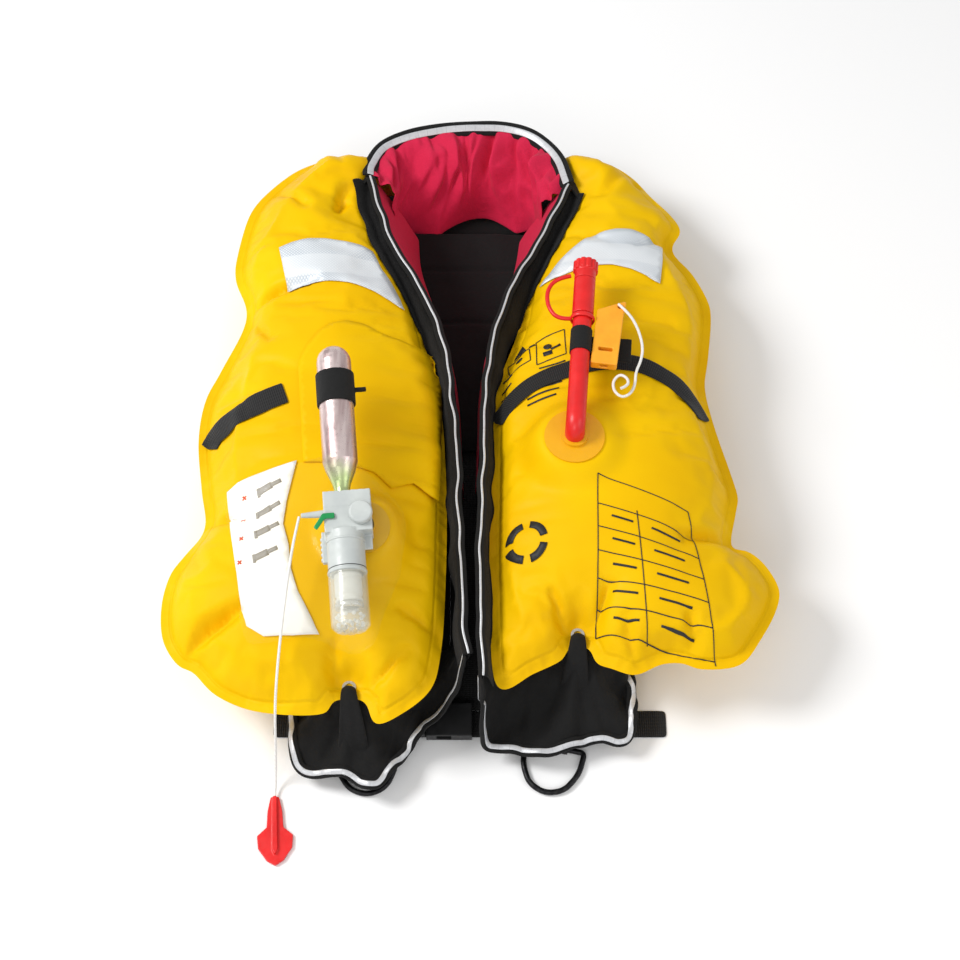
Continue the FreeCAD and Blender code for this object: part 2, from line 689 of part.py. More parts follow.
def pivot_pin():
    """The lever's pivot pin."""
    pin = rod("lever_pivot_pin", LEVEL * at(0, 0, -9), "pivot_radius", "18")
    return pin


def indicator_clip():
    """The green ready clip: a bar pressed on the head with a leg that points past the lever."""
    outline = [(-8, -22), (-19, -22), (-28, -35), (-25, -38), (-17, -27.5), (-8, -27.5)]
    clip = slab(outline, 14.3, 2.0, corner=0.8)
    return shaped("indicator_clip", clip, INFLATOR)


def firing_train():
    """What fires the cylinder: a pierce pin, its return spring, the bobbin and its spring cup."""
    shaft = rod("pin_shaft", at(0, -50, 0, ALONG_Y), "2.5", "29")
    point = primitive("Cone", "pin_point", at(0, -21, 0, ALONG_Y), Radius1="2.5", Radius2="0.4", Height="4")
    collar_disc = rod("pin_collar", at(0, -52, 0, ALONG_Y), "8", "3")
    pin = joined("pierce_pin", shaft, point, collar_disc)
    pin.Placement = INFLATOR
    coils, lead, wire, coil_radius = 3.5, 6.0, 1.1, 10.0
    helix = Part.makeHelix(lead, lead * coils, coil_radius)
    section = Part.Wire(Part.makeCircle(wire, Vector(coil_radius, 0, 0), Vector(0, 1, 0)))
    coil = Part.Wire(helix).makePipeShell([section], True, True)
    spring = shaped("firing_spring", coil, INFLATOR * at(0, -74, 0, ALONG_Y))
    bobbin = turned_body("bobbin", [(3, -118), (12, -118), (13.2, -115), (13.2, -80), (11, -76.5), (3, -76.5)],
                         INFLATOR)
    return [pin, spring, bobbin]


def bobbin_cap():
    """The clear screw cap over the bobbin, with a crown of water slots at its end."""
    radius, wall, length = size["cap_radius"], size["cap_wall"], size["cap_length"]
    top = -size["body_length"] - 0.2
    end = top - length
    cup = turned_body("cap_blank", [(radius - wall, top), (radius, top), (radius, end + 4), (radius - 4, end),
                                    (0, end), (0, end + 2.4), (radius - 5, end + 2.4),
                                    (radius - wall, end + 5)])
    slots = []
    for number in range(10):
        turn = Rotation(Vector(0, 1, 0), 36 * number)
        slots.append(block(f"cap_slot_{number}", Placement(Vector(), turn) * at(8, end - 1, -1.4),
                           "7", "5", "2.8"))
    cap = carved("bobbin_cap", cup, *slots)
    cap.Placement = INFLATOR
    return cap


CORD_ROUTE = [(-158.1, -161.8, 176.5), (-160.6, -176.0, 176.0), (-164.0, -197.0, 172.5),
              (-167.5, -226.0, 164.5), (-171.5, -256.0, 150.0), (-175.5, -286.0, 130.5),
              (-178.5, -309.0, 108.0), (-180.5, -323.0, 82.0), (-182.0, -332.0, 54.0),
              (-183.5, -342.0, 27.0), (-184.5, -354.0, 8.5), (-185.0, -370.0, 3.2)]
HANDLE_TURN = 3.0


def pull_cord():
    """The firing cord, from the tip of the lever over the lobe and down to the handle."""
    return cord("pull_cord", CORD_ROUTE, size["cord_radius"])


def pull_handle():
    """The arrow-shaped pull handle with a grip ridge, lying on the surface."""
    x, y, _ = CORD_ROUTE[-1]
    outline = [(-4, 0), (4, 0), (7, -14), (8, -30), (17, -38), (16, -50), (8, -62), (0, -67), (-8, -62),
               (-16, -50), (-17, -38), (-8, -30), (-7, -14)]
    blade = slab(outline, 0.6, 3.4, corner=1.5)
    ridge = slab([(-2, 0), (2, 0), (2.6, -52), (0, -58), (-2.6, -52)], 0.6, 6.4, corner=0.8)
    return shaped("pull_handle", blade.fuse(ridge).removeSplitter(), at(x, y, 0, Rotation(UP, HANDLE_TURN)))


# ---------------------------------------------------------------- the oral tube
# Its own frame: +Y along the tube towards the mouthpiece, origin over the weld disc.
ORAL = at(100.5, -60.0, 168.0, Rotation(UP, -4.7))
DISC_DROP = 16.0


def oral_tube():
    """The weld disc with its ring, the bent tube, and the stiff sleeve at the mouth end."""
    disc = rod("flange_disc", at(0, 0, -DISC_DROP - 1.4), "29", "1.4")
    ring = rod("flange_ring", at(0, 0, -DISC_DROP), "13", "3.5")
    bore = rod("flange_bore", at(0, 0, -DISC_DROP - 3), "tube_radius + 0.02", "9")
    flange = carved("oral_flange", joined("flange_blank", disc, ring), bore)
    flange.Placement = ORAL
    bend = 11.0
    start = Vector(0, 0, -DISC_DROP - 1)
    enter, leave = Vector(0, 0, -bend), Vector(0, bend, 0)
    middle = Vector(0, bend * (1 - math.sqrt(0.5)), -bend * (1 - math.sqrt(0.5)))
    path = Part.Wire([Part.LineSegment(start, enter).toShape(), Part.Arc(enter, middle, leave).toShape(),
                      Part.LineSegment(leave, Vector(0, size["tube_length"], 0)).toShape()])
    wall = path.makePipeShell([Part.Wire(Part.makeCircle(size["tube_radius"], start, UP))], True, False)
    hollow = path.makePipeShell([Part.Wire(Part.makeCircle(size["tube_bore"], start, UP))], True, False)
    tube = shaped("oral_tube", wall.cut(hollow), ORAL)
    reach = size["tube_length"]
    sleeve_out = rod("sleeve_outside", at(0, reach - 16, 0, ALONG_Y), "sleeve_radius", "42")
    sleeve_low = rod("sleeve_low", at(0, reach - 17, 0, ALONG_Y), "tube_radius + 0.02", "17.2")
    sleeve_entry = rod("sleeve_entry", at(0, reach - 1, 0, ALONG_Y), "4", "8")
    sleeve_way = rod("sleeve_way", at(0, reach + 6, 0, ALONG_Y), "6.2", "17")
    sleeve_seat = rod("sleeve_seat", at(0, reach + 20, 0, ALONG_Y), "3.55", "8")
    sleeve = carved("oral_sleeve", sleeve_out, sleeve_low, sleeve_entry, sleeve_way, sleeve_seat)
    sleeve.Placement = ORAL
    return [flange, tube, sleeve]


def oral_valve():
    """The one-way valve in the sleeve: a poppet on a stem and its spring."""
    reach = size["tube_length"]
    head = rod("poppet_head", at(0, reach + 20.8, 0, ALONG_Y), "5.4", "2")
    stem = rod("poppet_stem", at(0, reach + 22.4, 0, ALONG_Y), "3.5", "5.2")
    poppet = joined("oral_poppet", head, stem)
    poppet.Placement = ORAL
    helix = Part.makeHelix(3.2, 9.6, 4.4)
    section = Part.Wire(Part.makeCircle(0.65, Vector(4.4, 0, 0), Vector(0, 1, 0)))
    coil = Part.Wire(helix).makePipeShell([section], True, True)
    spring = shaped("valve_spring", coil, ORAL * at(0, reach + 6.6, 0, ALONG_Y))
    return [poppet, spring]


def oral_cap():
    """The dust cap with its serrated crown."""
    base = size["tube_length"] + 26.3
    skirt = rod("cap_skirt", at(0, base, 0, ALONG_Y), "sleeve_radius", "10")
    crown = rod("cap_crown", at(0, base + 10, 0, ALONG_Y), "crown_radius", "11")
    dimple = rod("cap_dimple", at(0, base + 19, 0, ALONG_Y), "8", "3")
    mouth = rod("cap_mouth", at(0, base - 1, 0, ALONG_Y), "5.5", "8")
    notches = []
    for number in range(12):
        turn = Rotation(Vector(0, 1, 0), 30 * number)
        notches.append(block(f"cap_notch_{number}", Placement(Vector(), turn) * at(11.4, base + 9, -1.1),
                             "3", "13", "2.2"))
    cap = carved("oral_cap", joined("cap_solid", skirt, crown), dimple, mouth, *notches)
    cap.Placement = ORAL
    return cap


def cap_tether():
    """The flexible loop that keeps the dust cap with the tube: a ring round the tube and a strap."""
    reach = size["tube_length"]
    ring = Part.makeCylinder(12.4, 4, Vector(0, reach - 22, 0), Vector(0, 1, 0))
    ring = ring.cut(Part.makeCylinder(size["tube_radius"] + RUN, 6, Vector(0, reach - 23, 0), Vector(0, 1, 0)))
    route = [(-11.6, reach - 20, 0), (-24, reach - 22, 0), (-35, reach - 8, 0), (-37, reach + 12, 0),
             (-28, reach + 27, 0), (-14.2, reach + 31, 0)]
    path, _ = rounded_path(route)
    strap = path.makePipeShell([round_section(path, 2.0)], True, False)
    return shaped("cap_tether", ring.fuse(strap), ORAL)


def tube_band():
    """The elastic loop round the oral tube; its tail passes behind the whistle."""
    loop = rod("tube_band_outside", at(0, 84, 0, ALONG_Y), "tube_radius + 1.2", "27")
    tail = block("tube_band_tail", at(0, 84, -11), "50", "27", "1.6")
    bore = rod("tube_band_bore", at(0, 83, 0, ALONG_Y), "tube_radius + running_fit", "29")
    band = carved("tube_band", joined("tube_band_blank", loop, tail), bore)
    band.Placement = ORAL
    return band


WHISTLE = at(134.5, 44.0, 160.4, Rotation(UP, -8.0))


def whistle():
    """The flat whistle: a chambered body with a slanted lanyard tab."""
    outline = [(-13, -34), (13, -34), (13.5, 26), (15, 42), (6, 38), (-13, 28)]
    body = slab(outline, 0, 10.5, corner=2.0)
    windway = Part.makeBox(8, 16, 4, Vector(-4, -34.5, 3.2))
    window = Part.makeBox(14, 4, 8, Vector(-7, -19, 3.2))
    eye = Part.makeCylinder(2.2, 20, Vector(9, 34.5, -4))
    return shaped("whistle", body.cut(windway.fuse([window, eye])), WHISTLE)


LANYARD_ROUTE = [(146.5, 78.5, 172.5), (153.0, 71.0, 173.2), (161.5, 62.0, 168.0), (167.5, 50.0, 161.0),
                 (170.0, 36.0, 157.0), (167.5, 23.0, 154.8), (162.0, 11.0, 154.4), (161.0, -3.0, 154.6),
                 (156.5, -14.0, 155.0), (147.5, -19.5, 155.4), (139.5, -12.0, 155.8), (139.0, -1.0, 156.6),
                 (146.0, 6.0, 158.6), (153.5, 0.0, 160.2), (153.5, -9.5, 161.8), (146.0, -13.5, 163.4)]


def whistle_lanyard():
    """The white lanyard tied to the whistle's tab, lying in a loose loop on the lobe."""
    return cord("whistle_lanyard", LANYARD_ROUTE, 1.4)


# ---------------------------------------------------------------- the whole jacket
pieces = [bladder(), eyelets(), cover_tabs(), *cover(), *closure_strips(), *edge_linings(), *pipings(),
          *collar(), *harness(), *buckle(), belt_adjuster(), *soft_pieces()]
for hand in RINGS:
    pieces += [d_ring(hand), ring_tab(hand)]
pieces += [co2_cylinder(), cylinder_band(), inflator_body(), manifold(), seal_ring(), cap_nut(),
           firing_lever(), pivot_pin(), indicator_clip(), *firing_train(), bobbin_cap(), pull_cord(),
           pull_handle(), *oral_tube(), *oral_valve(), oral_cap(), cap_tether(), tube_band(), whistle(),
           whistle_lanyard()]
doc.recompute()

for item in doc.Objects:
    if "Invalid" in item.State or "Error" in item.State:
        raise RuntimeError(f"{item.Label} failed: {item.State}")
for piece in pieces:
    if piece.Shape.isNull() or not piece.Shape.isValid():
        raise RuntimeError(f"{piece.Label} has no valid shape")

os.makedirs("parts", exist_ok=True)
for piece in pieces:
    piece.Shape.exportStep(f"parts/{piece.Label}.step")
    box = piece.Shape.BoundBox
    print(f"{piece.Label}: {len(piece.Shape.Solids)} solid, volume {piece.Shape.Volume:.0f},",
          f"x {box.XMin:.1f} {box.XMax:.1f}, y {box.YMin:.1f} {box.YMax:.1f}, z {box.ZMin:.1f} {box.ZMax:.1f}")
print(len(pieces), "pieces")
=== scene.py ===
"""Looks of the inflatable life jacket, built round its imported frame. Metres, +Z up, +Y to the collar."""

import math

import bmesh
import bpy
import numpy as np
from mathutils import Matrix, Vector, noise
from mathutils.bvhtree import BVHTree
from mathutils.geometry import delaunay_2d_cdt


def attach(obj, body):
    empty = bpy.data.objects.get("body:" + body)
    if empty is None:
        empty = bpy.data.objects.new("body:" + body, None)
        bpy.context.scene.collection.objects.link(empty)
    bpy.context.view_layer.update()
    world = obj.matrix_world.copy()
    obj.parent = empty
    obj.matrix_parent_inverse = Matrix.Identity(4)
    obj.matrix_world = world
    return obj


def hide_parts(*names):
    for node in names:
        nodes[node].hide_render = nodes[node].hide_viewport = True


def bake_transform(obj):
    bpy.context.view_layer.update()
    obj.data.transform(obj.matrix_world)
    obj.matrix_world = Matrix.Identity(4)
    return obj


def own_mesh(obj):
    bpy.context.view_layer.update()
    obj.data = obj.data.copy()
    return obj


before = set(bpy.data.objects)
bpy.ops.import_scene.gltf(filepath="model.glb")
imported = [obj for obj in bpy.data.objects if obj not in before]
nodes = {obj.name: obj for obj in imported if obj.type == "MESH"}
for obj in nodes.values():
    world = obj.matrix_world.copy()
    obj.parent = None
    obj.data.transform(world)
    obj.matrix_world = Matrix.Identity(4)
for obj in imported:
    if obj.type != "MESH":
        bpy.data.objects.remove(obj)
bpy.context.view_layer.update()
scene = bpy.context.scene
MM = 0.001
UP, DOWN = Vector((0, 0, 1)), Vector((0, 0, -1))


# ---------------------------------------------------------------- camera, light and floor
LENS = {"lens": 75, "sensor_width": 36, "shift_x": 0.0104, "shift_y": -0.026}
CAMERA_PLACE = (0, -1.037, 1.807)
CAMERA_TILT = math.radians(30)
ROOM_BRIGHTNESS = 0.57
# Each light: its name, its place, its width in metres and its power in watts.
LIGHTS = [("key", (-1.7, 0.1, 1.9), 0.9, 44), ("fill", (1.7, -0.9, 1.5), 1.6, 9),
          ("front", (-0.5, -1.8, 1.6), 1.2, 9)]
LIT_POINT = Vector((0, 0, 0.1))
FLOOR_SIZE = 8


def linked(name, data):
    """A new object of the scene."""
    obj = bpy.data.objects.new(name, data)
    scene.collection.objects.link(obj)
    return obj


def camera():
    """A camera in front of the jacket, 60 degrees above the floor."""
    lens = bpy.data.cameras.new("camera")
    for setting, value in LENS.items():
        setattr(lens, setting, value)
    view = linked("camera", lens)
    view.location = CAMERA_PLACE
    view.rotation_euler = (CAMERA_TILT, 0, 0)
    scene.camera = view


def studio():
    """Plain pale floor, a bright room and three soft lights."""
    scene.view_settings.view_transform = "Standard"
    room = bpy.data.worlds.new("room")
    room.use_nodes = True
    room.node_tree.nodes["Background"].inputs["Color"].default_value = (1, 1, 1, 1)
    room.node_tree.nodes["Background"].inputs["Strength"].default_value = ROOM_BRIGHTNESS
    scene.world = room
    for name, place, width, power in LIGHTS:
        lamp = bpy.data.lights.new(name, "AREA")
        lamp.shape = "DISK"
        lamp.size = width
        lamp.energy = power
        holder = linked(name, lamp)
        holder.location = place
        holder.rotation_euler = (LIT_POINT - Vector(place)).to_track_quat("-Z", "Y").to_euler()
    bpy.ops.mesh.primitive_plane_add(size=FLOOR_SIZE)
    floor = bpy.context.object
    floor.name = "floor"
    floor.data.materials.append(Shader("floor", (0.93, 0.93, 0.93), 0.7).material)


# ---------------------------------------------------------------- materials
class Shader:
    """A node material while it is wired up. Patterns read object coordinates or a UV map in metres."""

    def __init__(self, name, colour, roughness, **sockets):
        self.material = bpy.data.materials.new(name)
        self.material.use_nodes = True
        self.tree = self.material.node_tree
        self.surface = self.tree.nodes["Principled BSDF"]
        self.surface.inputs["Base Color"].default_value = (*colour, 1)
        self.surface.inputs["Roughness"].default_value = roughness
        for socket, value in sockets.items():
            self.surface.inputs[socket.replace("_", " ")].default_value = value
        coordinates = self.tree.nodes.new("ShaderNodeTexCoord")
        self.place = coordinates.outputs["Object"]
        self.uv = coordinates.outputs["UV"]
        self.relief = None

    def node(self, kind, inputs=(), **settings):
        made = self.tree.nodes.new("ShaderNode" + kind)
        for name, value in settings.items():
            setattr(made, name, value)
        for key, value in dict(inputs).items():
            if isinstance(value, bpy.types.NodeSocket):
                self.tree.links.new(value, made.inputs[key])
            else:
                made.inputs[key].default_value = value
        return made

    def noise(self, scale, detail=3, stretch=None):
        where = self.place
        if stretch:
            where = self.node("Mapping", {"Vector": where, "Scale": stretch}).outputs[0]
        made = self.node("TexNoise", {"Vector": where, "Scale": scale, "Detail": detail})
        return made.outputs["Fac"]

    def waves(self, scale, direction="X", source=None):
        """Even ribs; one rib every 0.314 / scale metres."""
        made = self.node("TexWave", {"Vector": source or self.place, "Scale": scale},
                         wave_type="BANDS", bands_direction=direction)
        return made.outputs["Fac"]

    def cells(self, scale):
        made = self.node("TexVoronoi", {"Vector": self.place, "Scale": scale})
        return made.outputs["Distance"]

    def maths(self, operation, first, second):
        return self.node("Math", {0: first, 1: second}, operation=operation).outputs[0]

    def ramp(self, value, low, high, from_low=0.35, from_high=0.65):
        """A number that runs from low to high as value runs between two levels."""
        made = self.node("MapRange", {"Value": value, "From Min": from_low, "From Max": from_high,
                                      "To Min": low, "To Max": high})
        return made.outputs["Result"]

    def tint(self, amount, first, second):
        """A mix of two colours that becomes the base colour."""
        made = self.node("Mix", data_type="RGBA")
        for socket, colour in ((6, first), (7, second)):
            if isinstance(colour, bpy.types.NodeSocket):
                self.tree.links.new(colour, made.inputs[socket])
            else:
                made.inputs[socket].default_value = (*colour, 1)
        self.tree.links.new(amount, made.inputs[0])
        self.tree.links.new(made.outputs[2], self.surface.inputs["Base Color"])
        return made.outputs[2]

    def rough(self, value, low, high):
        self.tree.links.new(self.ramp(value, low, high), self.surface.inputs["Roughness"])

    def bump(self, height, strength, distance):
        inputs = {"Height": height, "Strength": strength, "Distance": distance}
        if self.relief:
            inputs["Normal"] = self.relief
        self.relief = self.node("Bump", inputs).outputs["Normal"]
        self.tree.links.new(self.relief, self.surface.inputs["Normal"])


WELD_LINE = 0.0095


def coated_nylon(weld=False):
    """Rubber-coated nylon; on the bladder its UV map gives the distance from the edge."""
    paint = Shader("coated_nylon", (0.82, 0.48, 0.001), 0.5, Specular_IOR_Level=0.07)
    patches = paint.noise(9, 4)
    paint.tint(paint.ramp(patches, 0, 1), (0.84, 0.51, 0.001), (0.79, 0.45, 0.001))
    paint.rough(paint.noise(14, 3), 0.42, 0.58)
    paint.bump(paint.noise(26, 5, stretch=(1, 0.6, 1)), 0.10, 0.003)
    paint.bump(paint.waves(620, "X"), 0.05, 0.0003)
    paint.bump(paint.waves(620, "Y"), 0.05, 0.0003)
    if weld:
        edge = paint.node("SeparateXYZ", {"Vector": paint.uv}).outputs["Y"]
        line = paint.maths("ABSOLUTE", paint.maths("SUBTRACT", edge, WELD_LINE), 0.0)
        groove = paint.ramp(line, 0, 1, 0.0, 0.0022)
        paint.bump(groove, 0.7, 0.0014)
    return paint.material


def cloth(name, colour, dark, rib=420):
    """A woven cloth with a fine two-way weave, soft creases and a little lint."""
    paint = Shader(name, colour, 0.78, Sheen_Weight=0.05, Sheen_Roughness=0.5, Specular_IOR_Level=0.3)
    lint = paint.noise(1500, 2)
    paint.tint(paint.ramp(lint, 0, 1, 0.5, 0.75), dark, colour)
    weave = paint.maths("MULTIPLY", paint.waves(rib, "X"), paint.waves(rib, "Y"))
    paint.bump(paint.noise(70, 5), 0.5, 0.003)
    paint.bump(weave, 0.45, 0.0006)
    return paint.material


def webbing(colour, rib_highlight):
    """Ribbed webbing with a painted highlight on its rib crests; its UV map runs along the strap in metres.
    """
    paint = Shader("webbing", colour, 0.7, Sheen_Weight=0.05, Specular_IOR_Level=0.3)
    ribs = paint.waves(150, "X", paint.uv)
    cords = paint.waves(90, "Y", paint.uv)
    rib_height = paint.maths("ADD", paint.maths("MULTIPLY", ribs, 0.7), paint.maths("MULTIPLY", cords, 0.3))
    # painted highlight: the rib crests get the lighter colour and the grooves the darker one
    paint.tint(paint.ramp(rib_height, 0, 1, 0.1, 0.9), colour, rib_highlight)
    paint.bump(rib_height, 0.7, 0.0008)
    paint.bump(paint.noise(900, 2), 0.2, 0.0003)
    return paint.material


def fuzzy_tape():
    """Hook and loop tape: a dense pile of tiny black loops, with painted shade where the pile is low."""
    paint = Shader("hook_and_loop", (0.008, 0.007, 0.007), 0.95, Sheen_Weight=0.08, Specular_IOR_Level=0.2)
    pile = paint.noise(1100, 4)
    # painted shade: darker where the pile's bump is low, lighter on its tops
    paint.tint(paint.ramp(pile, 0, 1, 0.45, 0.75), (0.003, 0.003, 0.003), (0.016, 0.015, 0.015))
    paint.bump(pile, 0.9, 0.0012)
    return paint.material


def silver_tape():
    """Silver reflective tape of tiny beads, with small dark cross stitches."""
    paint = Shader("silver_piping", (0.62, 0.63, 0.65), 0.42, Metallic=0.35)
    beads = paint.cells(1300)
    stitch = paint.ramp(paint.waves(30, "X", paint.uv), 0, 0.55, 0.985, 0.998)
    grain = paint.maths("MULTIPLY", paint.noise(300, 3), 0.45)
    paint.tint(paint.maths("MAXIMUM", stitch, grain), (0.66, 0.67, 0.69), (0.30, 0.30, 0.32))
    paint.bump(beads, 0.25, 0.0002)
    paint.bump(paint.noise(120, 3), 0.3, 0.001)
    return paint.material


def prism_tape():
    """A reflective patch: a lattice of small prisms round a plain band."""
    paint = Shader("reflective_patch", (0.74, 0.77, 0.80), 0.45, Metallic=0.1, Coat_Weight=0.15)
    mirrored = paint.node("Mapping", {"Vector": paint.uv, "Scale": (1, -1, 1)}).outputs[0]
    lattice = paint.waves(190, "DIAGONAL", paint.uv)
    crossing = paint.maths("MULTIPLY", lattice, paint.waves(190, "DIAGONAL", mirrored))
    across = paint.node("SeparateXYZ", {"Vector": paint.uv}).outputs["Y"]
    middle = paint.maths("ABSOLUTE", across, 0.0)
    border = paint.ramp(middle, 0.35, 1, 0.0115, 0.0125)
    amount = paint.maths("MULTIPLY", paint.ramp(crossing, 1, 0, 0.1, 0.5), border)
    amount = paint.maths("MULTIPLY", amount, paint.ramp(paint.noise(22, 2), 0.35, 1.0))
    paint.tint(amount, (0.76, 0.79, 0.81), (0.50, 0.55, 0.60))
    paint.bump(crossing, 0.3, 0.0004)
    return paint.material


def moulded(name, colour, shade, roughness=0.42):
    """Moulded plastic: a fine eroded grain, soft mottling and slightly uneven gloss."""
    paint = Shader(name, colour, roughness)
    paint.tint(paint.ramp(paint.noise(60, 4), 0, 1), colour, shade)
    paint.rough(paint.noise(180, 3), roughness - 0.07, roughness + 0.1)
    paint.bump(paint.noise(700, 3), 0.12, 0.0003)
    return paint.material


def zinc():
    """Passivated zinc plate: pink and green iridescence over a satin metal."""
    paint = Shader("zinc_steel", (0.80, 0.66, 0.65), 0.32, Metallic=0.85)
    along = paint.node("SeparateXYZ", {"Vector": paint.place}).outputs["Y"]
    drift = paint.maths("MULTIPLY", paint.maths("SUBTRACT", paint.noise(34, 4), 0.5), 0.05)
    neck = paint.ramp(paint.maths("ADD", along, drift), 1, 0, -0.132, -0.108)
    streaks = paint.ramp(paint.noise(75, 3, stretch=(1, 0.06, 1)), 0, 1, 0.42, 0.62)
    body = paint.tint(streaks, (0.84, 0.70, 0.68), (0.44, 0.30, 0.30))
    paint.tint(neck, body, (0.52, 0.62, 0.30))
    paint.rough(paint.noise(200, 3), 0.26, 0.4)
    paint.bump(paint.noise(70, 3), 0.10, 0.0005)
    return paint.material


def metal(name, colour, roughness, worn):
    """Bare or painted metal, a little worn."""
    paint = Shader(name, colour, roughness, Metallic=1.0)
    paint.tint(paint.ramp(paint.noise(240, 4), 0, 1, 0.4, 0.8), colour, worn)
    paint.rough(paint.noise(300, 3), roughness - 0.08, roughness + 0.12)
    paint.bump(paint.noise(500, 3), 0.15, 0.0003)
    return paint.material


def film(name, colour, alpha, roughness=0.12):
    """A thin clear sheet: mostly see-through, with a gloss that catches the lights."""
    paint = Shader(name, colour, roughness, Alpha=alpha, Coat_Weight=0.25, Coat_Roughness=0.05)
    paint.rough(paint.noise(40, 4), roughness, roughness + 0.15)
    paint.bump(paint.noise(38, 4), 0.5, 0.004)
    return paint.material


def braid(name, colour, shade):
    """A braided cord: slanted strands that cross, with painted shade in the grooves between them."""
    paint = Shader(name, colour, 0.6, Sheen_Weight=0.1)
    slanted = paint.node("Mapping", {"Vector": paint.place, "Rotation": (0.6, 0.5, 0.7)}).outputs[0]
    strands = paint.maths("MULTIPLY", paint.waves(260, "X", slanted), paint.waves(260, "Y", slanted))
    # painted shade: the grooves between the strands get the darker shade colour
    paint.tint(paint.ramp(strands, 0, 1, 0.0, 0.4), shade, colour)
    paint.bump(strands, 0.6, 0.0004)
    return paint.material


def card_paper():
    """White card with a faint tooth."""
    paint = Shader("card", (0.94, 0.95, 0.96), 0.55)
    paint.tint(paint.ramp(paint.noise(120, 3), 0, 1), (0.96, 0.97, 0.98), (0.92, 0.93, 0.94))
    paint.bump(paint.noise(300, 4), 0.15, 0.0004)
    return paint.material


def print_ink(name, colour):
    """A flat printing ink."""
    paint = Shader(name, colour, 0.6)
    paint.bump(paint.noise(800), 0.1, 0.0001)
    return paint.material


# Finishes of one kind: name, colour, second colour, and roughness or ribs where they differ.
CLOTHS = [
    ("cover_cloth", (0.006, 0.005, 0.005), (0.002, 0.002, 0.002)),
    ("crimson_lining", (0.76, 0.014, 0.078), (0.60, 0.009, 0.055), 500),
    ("elastic", (0.010, 0.010, 0.010), (0.005, 0.005, 0.005), 700)]
PLASTICS = [
    ("black_plastic", (0.010, 0.010, 0.010), (0.016, 0.016, 0.017), 0.4),
    ("grey_plastic", (0.54, 0.57, 0.55), (0.47, 0.50, 0.49)),
    ("manifold_plastic", (0.78, 0.46, 0.02), (0.70, 0.40, 0.02)),
    ("rubber_seal", (0.02, 0.02, 0.02), (0.03, 0.03, 0.03), 0.6),
    ("green_plastic", (0.005, 0.30, 0.08), (0.004, 0.24, 0.06), 0.35),
    ("white_plastic", (0.80, 0.80, 0.78), (0.72, 0.72, 0.70), 0.4),
    ("red_plastic", (0.76, 0.012, 0.012), (0.66, 0.008, 0.008), 0.36),
    ("orange_plastic", (0.92, 0.41, 0.018), (0.86, 0.35, 0.014), 0.35)]
METALS = [
    ("black_metal", (0.02, 0.02, 0.022), 0.4, (0.05, 0.05, 0.05)),
    ("steel", (0.55, 0.55, 0.56), 0.3, (0.42, 0.42, 0.43)),
    ("eyelet_metal", (0.72, 0.71, 0.68), 0.28, (0.5, 0.5, 0.48))]
FILMS = [
    ("clear_film", (0.92, 0.68, 0.08), 0.05),
    ("clear_plastic", (0.80, 0.80, 0.70), 0.30, 0.04),
    ("orange_film", (0.96, 0.50, 0.003), 0.72, 0.3)]
MATERIALS = {
    "bladder_coated_nylon": coated_nylon(weld=True),
    "hook_and_loop": fuzzy_tape(),
    "silver_piping": silver_tape(),
    # the webbing's second colour is the painted highlight on its rib crests
    "webbing": webbing((0.005, 0.005, 0.005), (0.020, 0.019, 0.019)),
    "reflective_tape": prism_tape(),
    "card": card_paper(),
    "zinc_steel": zinc(),
    # the white cord's second colour is the painted shade in the braid's grooves
    "white_cord": braid("white_cord", (0.90, 0.89, 0.86), (0.74, 0.73, 0.70))}
for kind, looks in ((cloth, CLOTHS), (moulded, PLASTICS), (metal, METALS), (film, FILMS)):
    MATERIALS.update({look[0]: kind(*look) for look in looks})


# ---------------------------------------------------------------- mesh helpers
def shade_smooth(mesh):
    """Smooth shading on every face."""
    mesh.polygons.foreach_set("use_smooth", [True] * len(mesh.polygons))


def piece(name, vertices, faces, finish, uv=None, stands_for=()):
    """A mesh that rides on the jacket, with the finish of one of the record's slots."""
    mesh = bpy.data.meshes.new(name)
    mesh.from_pydata([tuple(map(float, vertex)) for vertex in vertices], [], faces)
    mesh.update()
    if uv is not None:
        layer = mesh.uv_layers.new(name="metres")
        for loop in mesh.loops:
            layer.data[loop.index].uv = uv[loop.vertex_index]
    shade_smooth(mesh)
    return dressed(linked(name, mesh), finish, "jacket", stands_for)


def dressed(obj, finish, body, stands_for=()):
    """Gives a piece its finish and the body that it rides on, and hides the CAD nodes that it stands for."""
    obj.data.materials.clear()
    obj.data.materials.append(MATERIALS[finish])
    if body:
        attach(obj, body)
    if stands_for:
        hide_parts(*stands_for)
    return obj


def apply_modifiers(obj):
    """Replaces the mesh of a piece by what its modifiers make of it."""
    graph = bpy.context.evaluated_depsgraph_get()
    done = bpy.data.meshes.new_from_object(obj.evaluated_get(graph))
    obj.modifiers.clear()
    obj.data = done


def thicken(obj, thickness, levels=1):
    """Gives a sheet its thickness, half to each side, and its subdivision, and applies both."""
    solid = obj.modifiers.new("thickness", "SOLIDIFY")
    solid.thickness = thickness
    solid.offset = 0
    if levels:
        smooth = obj.modifiers.new("smooth", "SUBSURF")
        smooth.levels = levels
        smooth.render_levels = levels
    apply_modifiers(obj)
    shade_smooth(obj.data)
    return obj


def points_of(obj):
    """The vertices of a piece as rows of numbers."""
    return np.array([vertex.co for vertex in obj.data.vertices])


def move_points(obj, points):
    """Puts the vertices of a piece at new points."""
    obj.data.vertices.foreach_set("co", points.ravel())
    obj.data.update()


def unit(vectors):
    """Rows of vectors brought to length one."""
    return vectors / np.linalg.norm(vectors, axis=1)[:, None]


def run_of(points):
    """How far along a line of points each of them lies."""
    return np.r_[0, np.cumsum(np.linalg.norm(np.diff(points, axis=0), axis=1))]


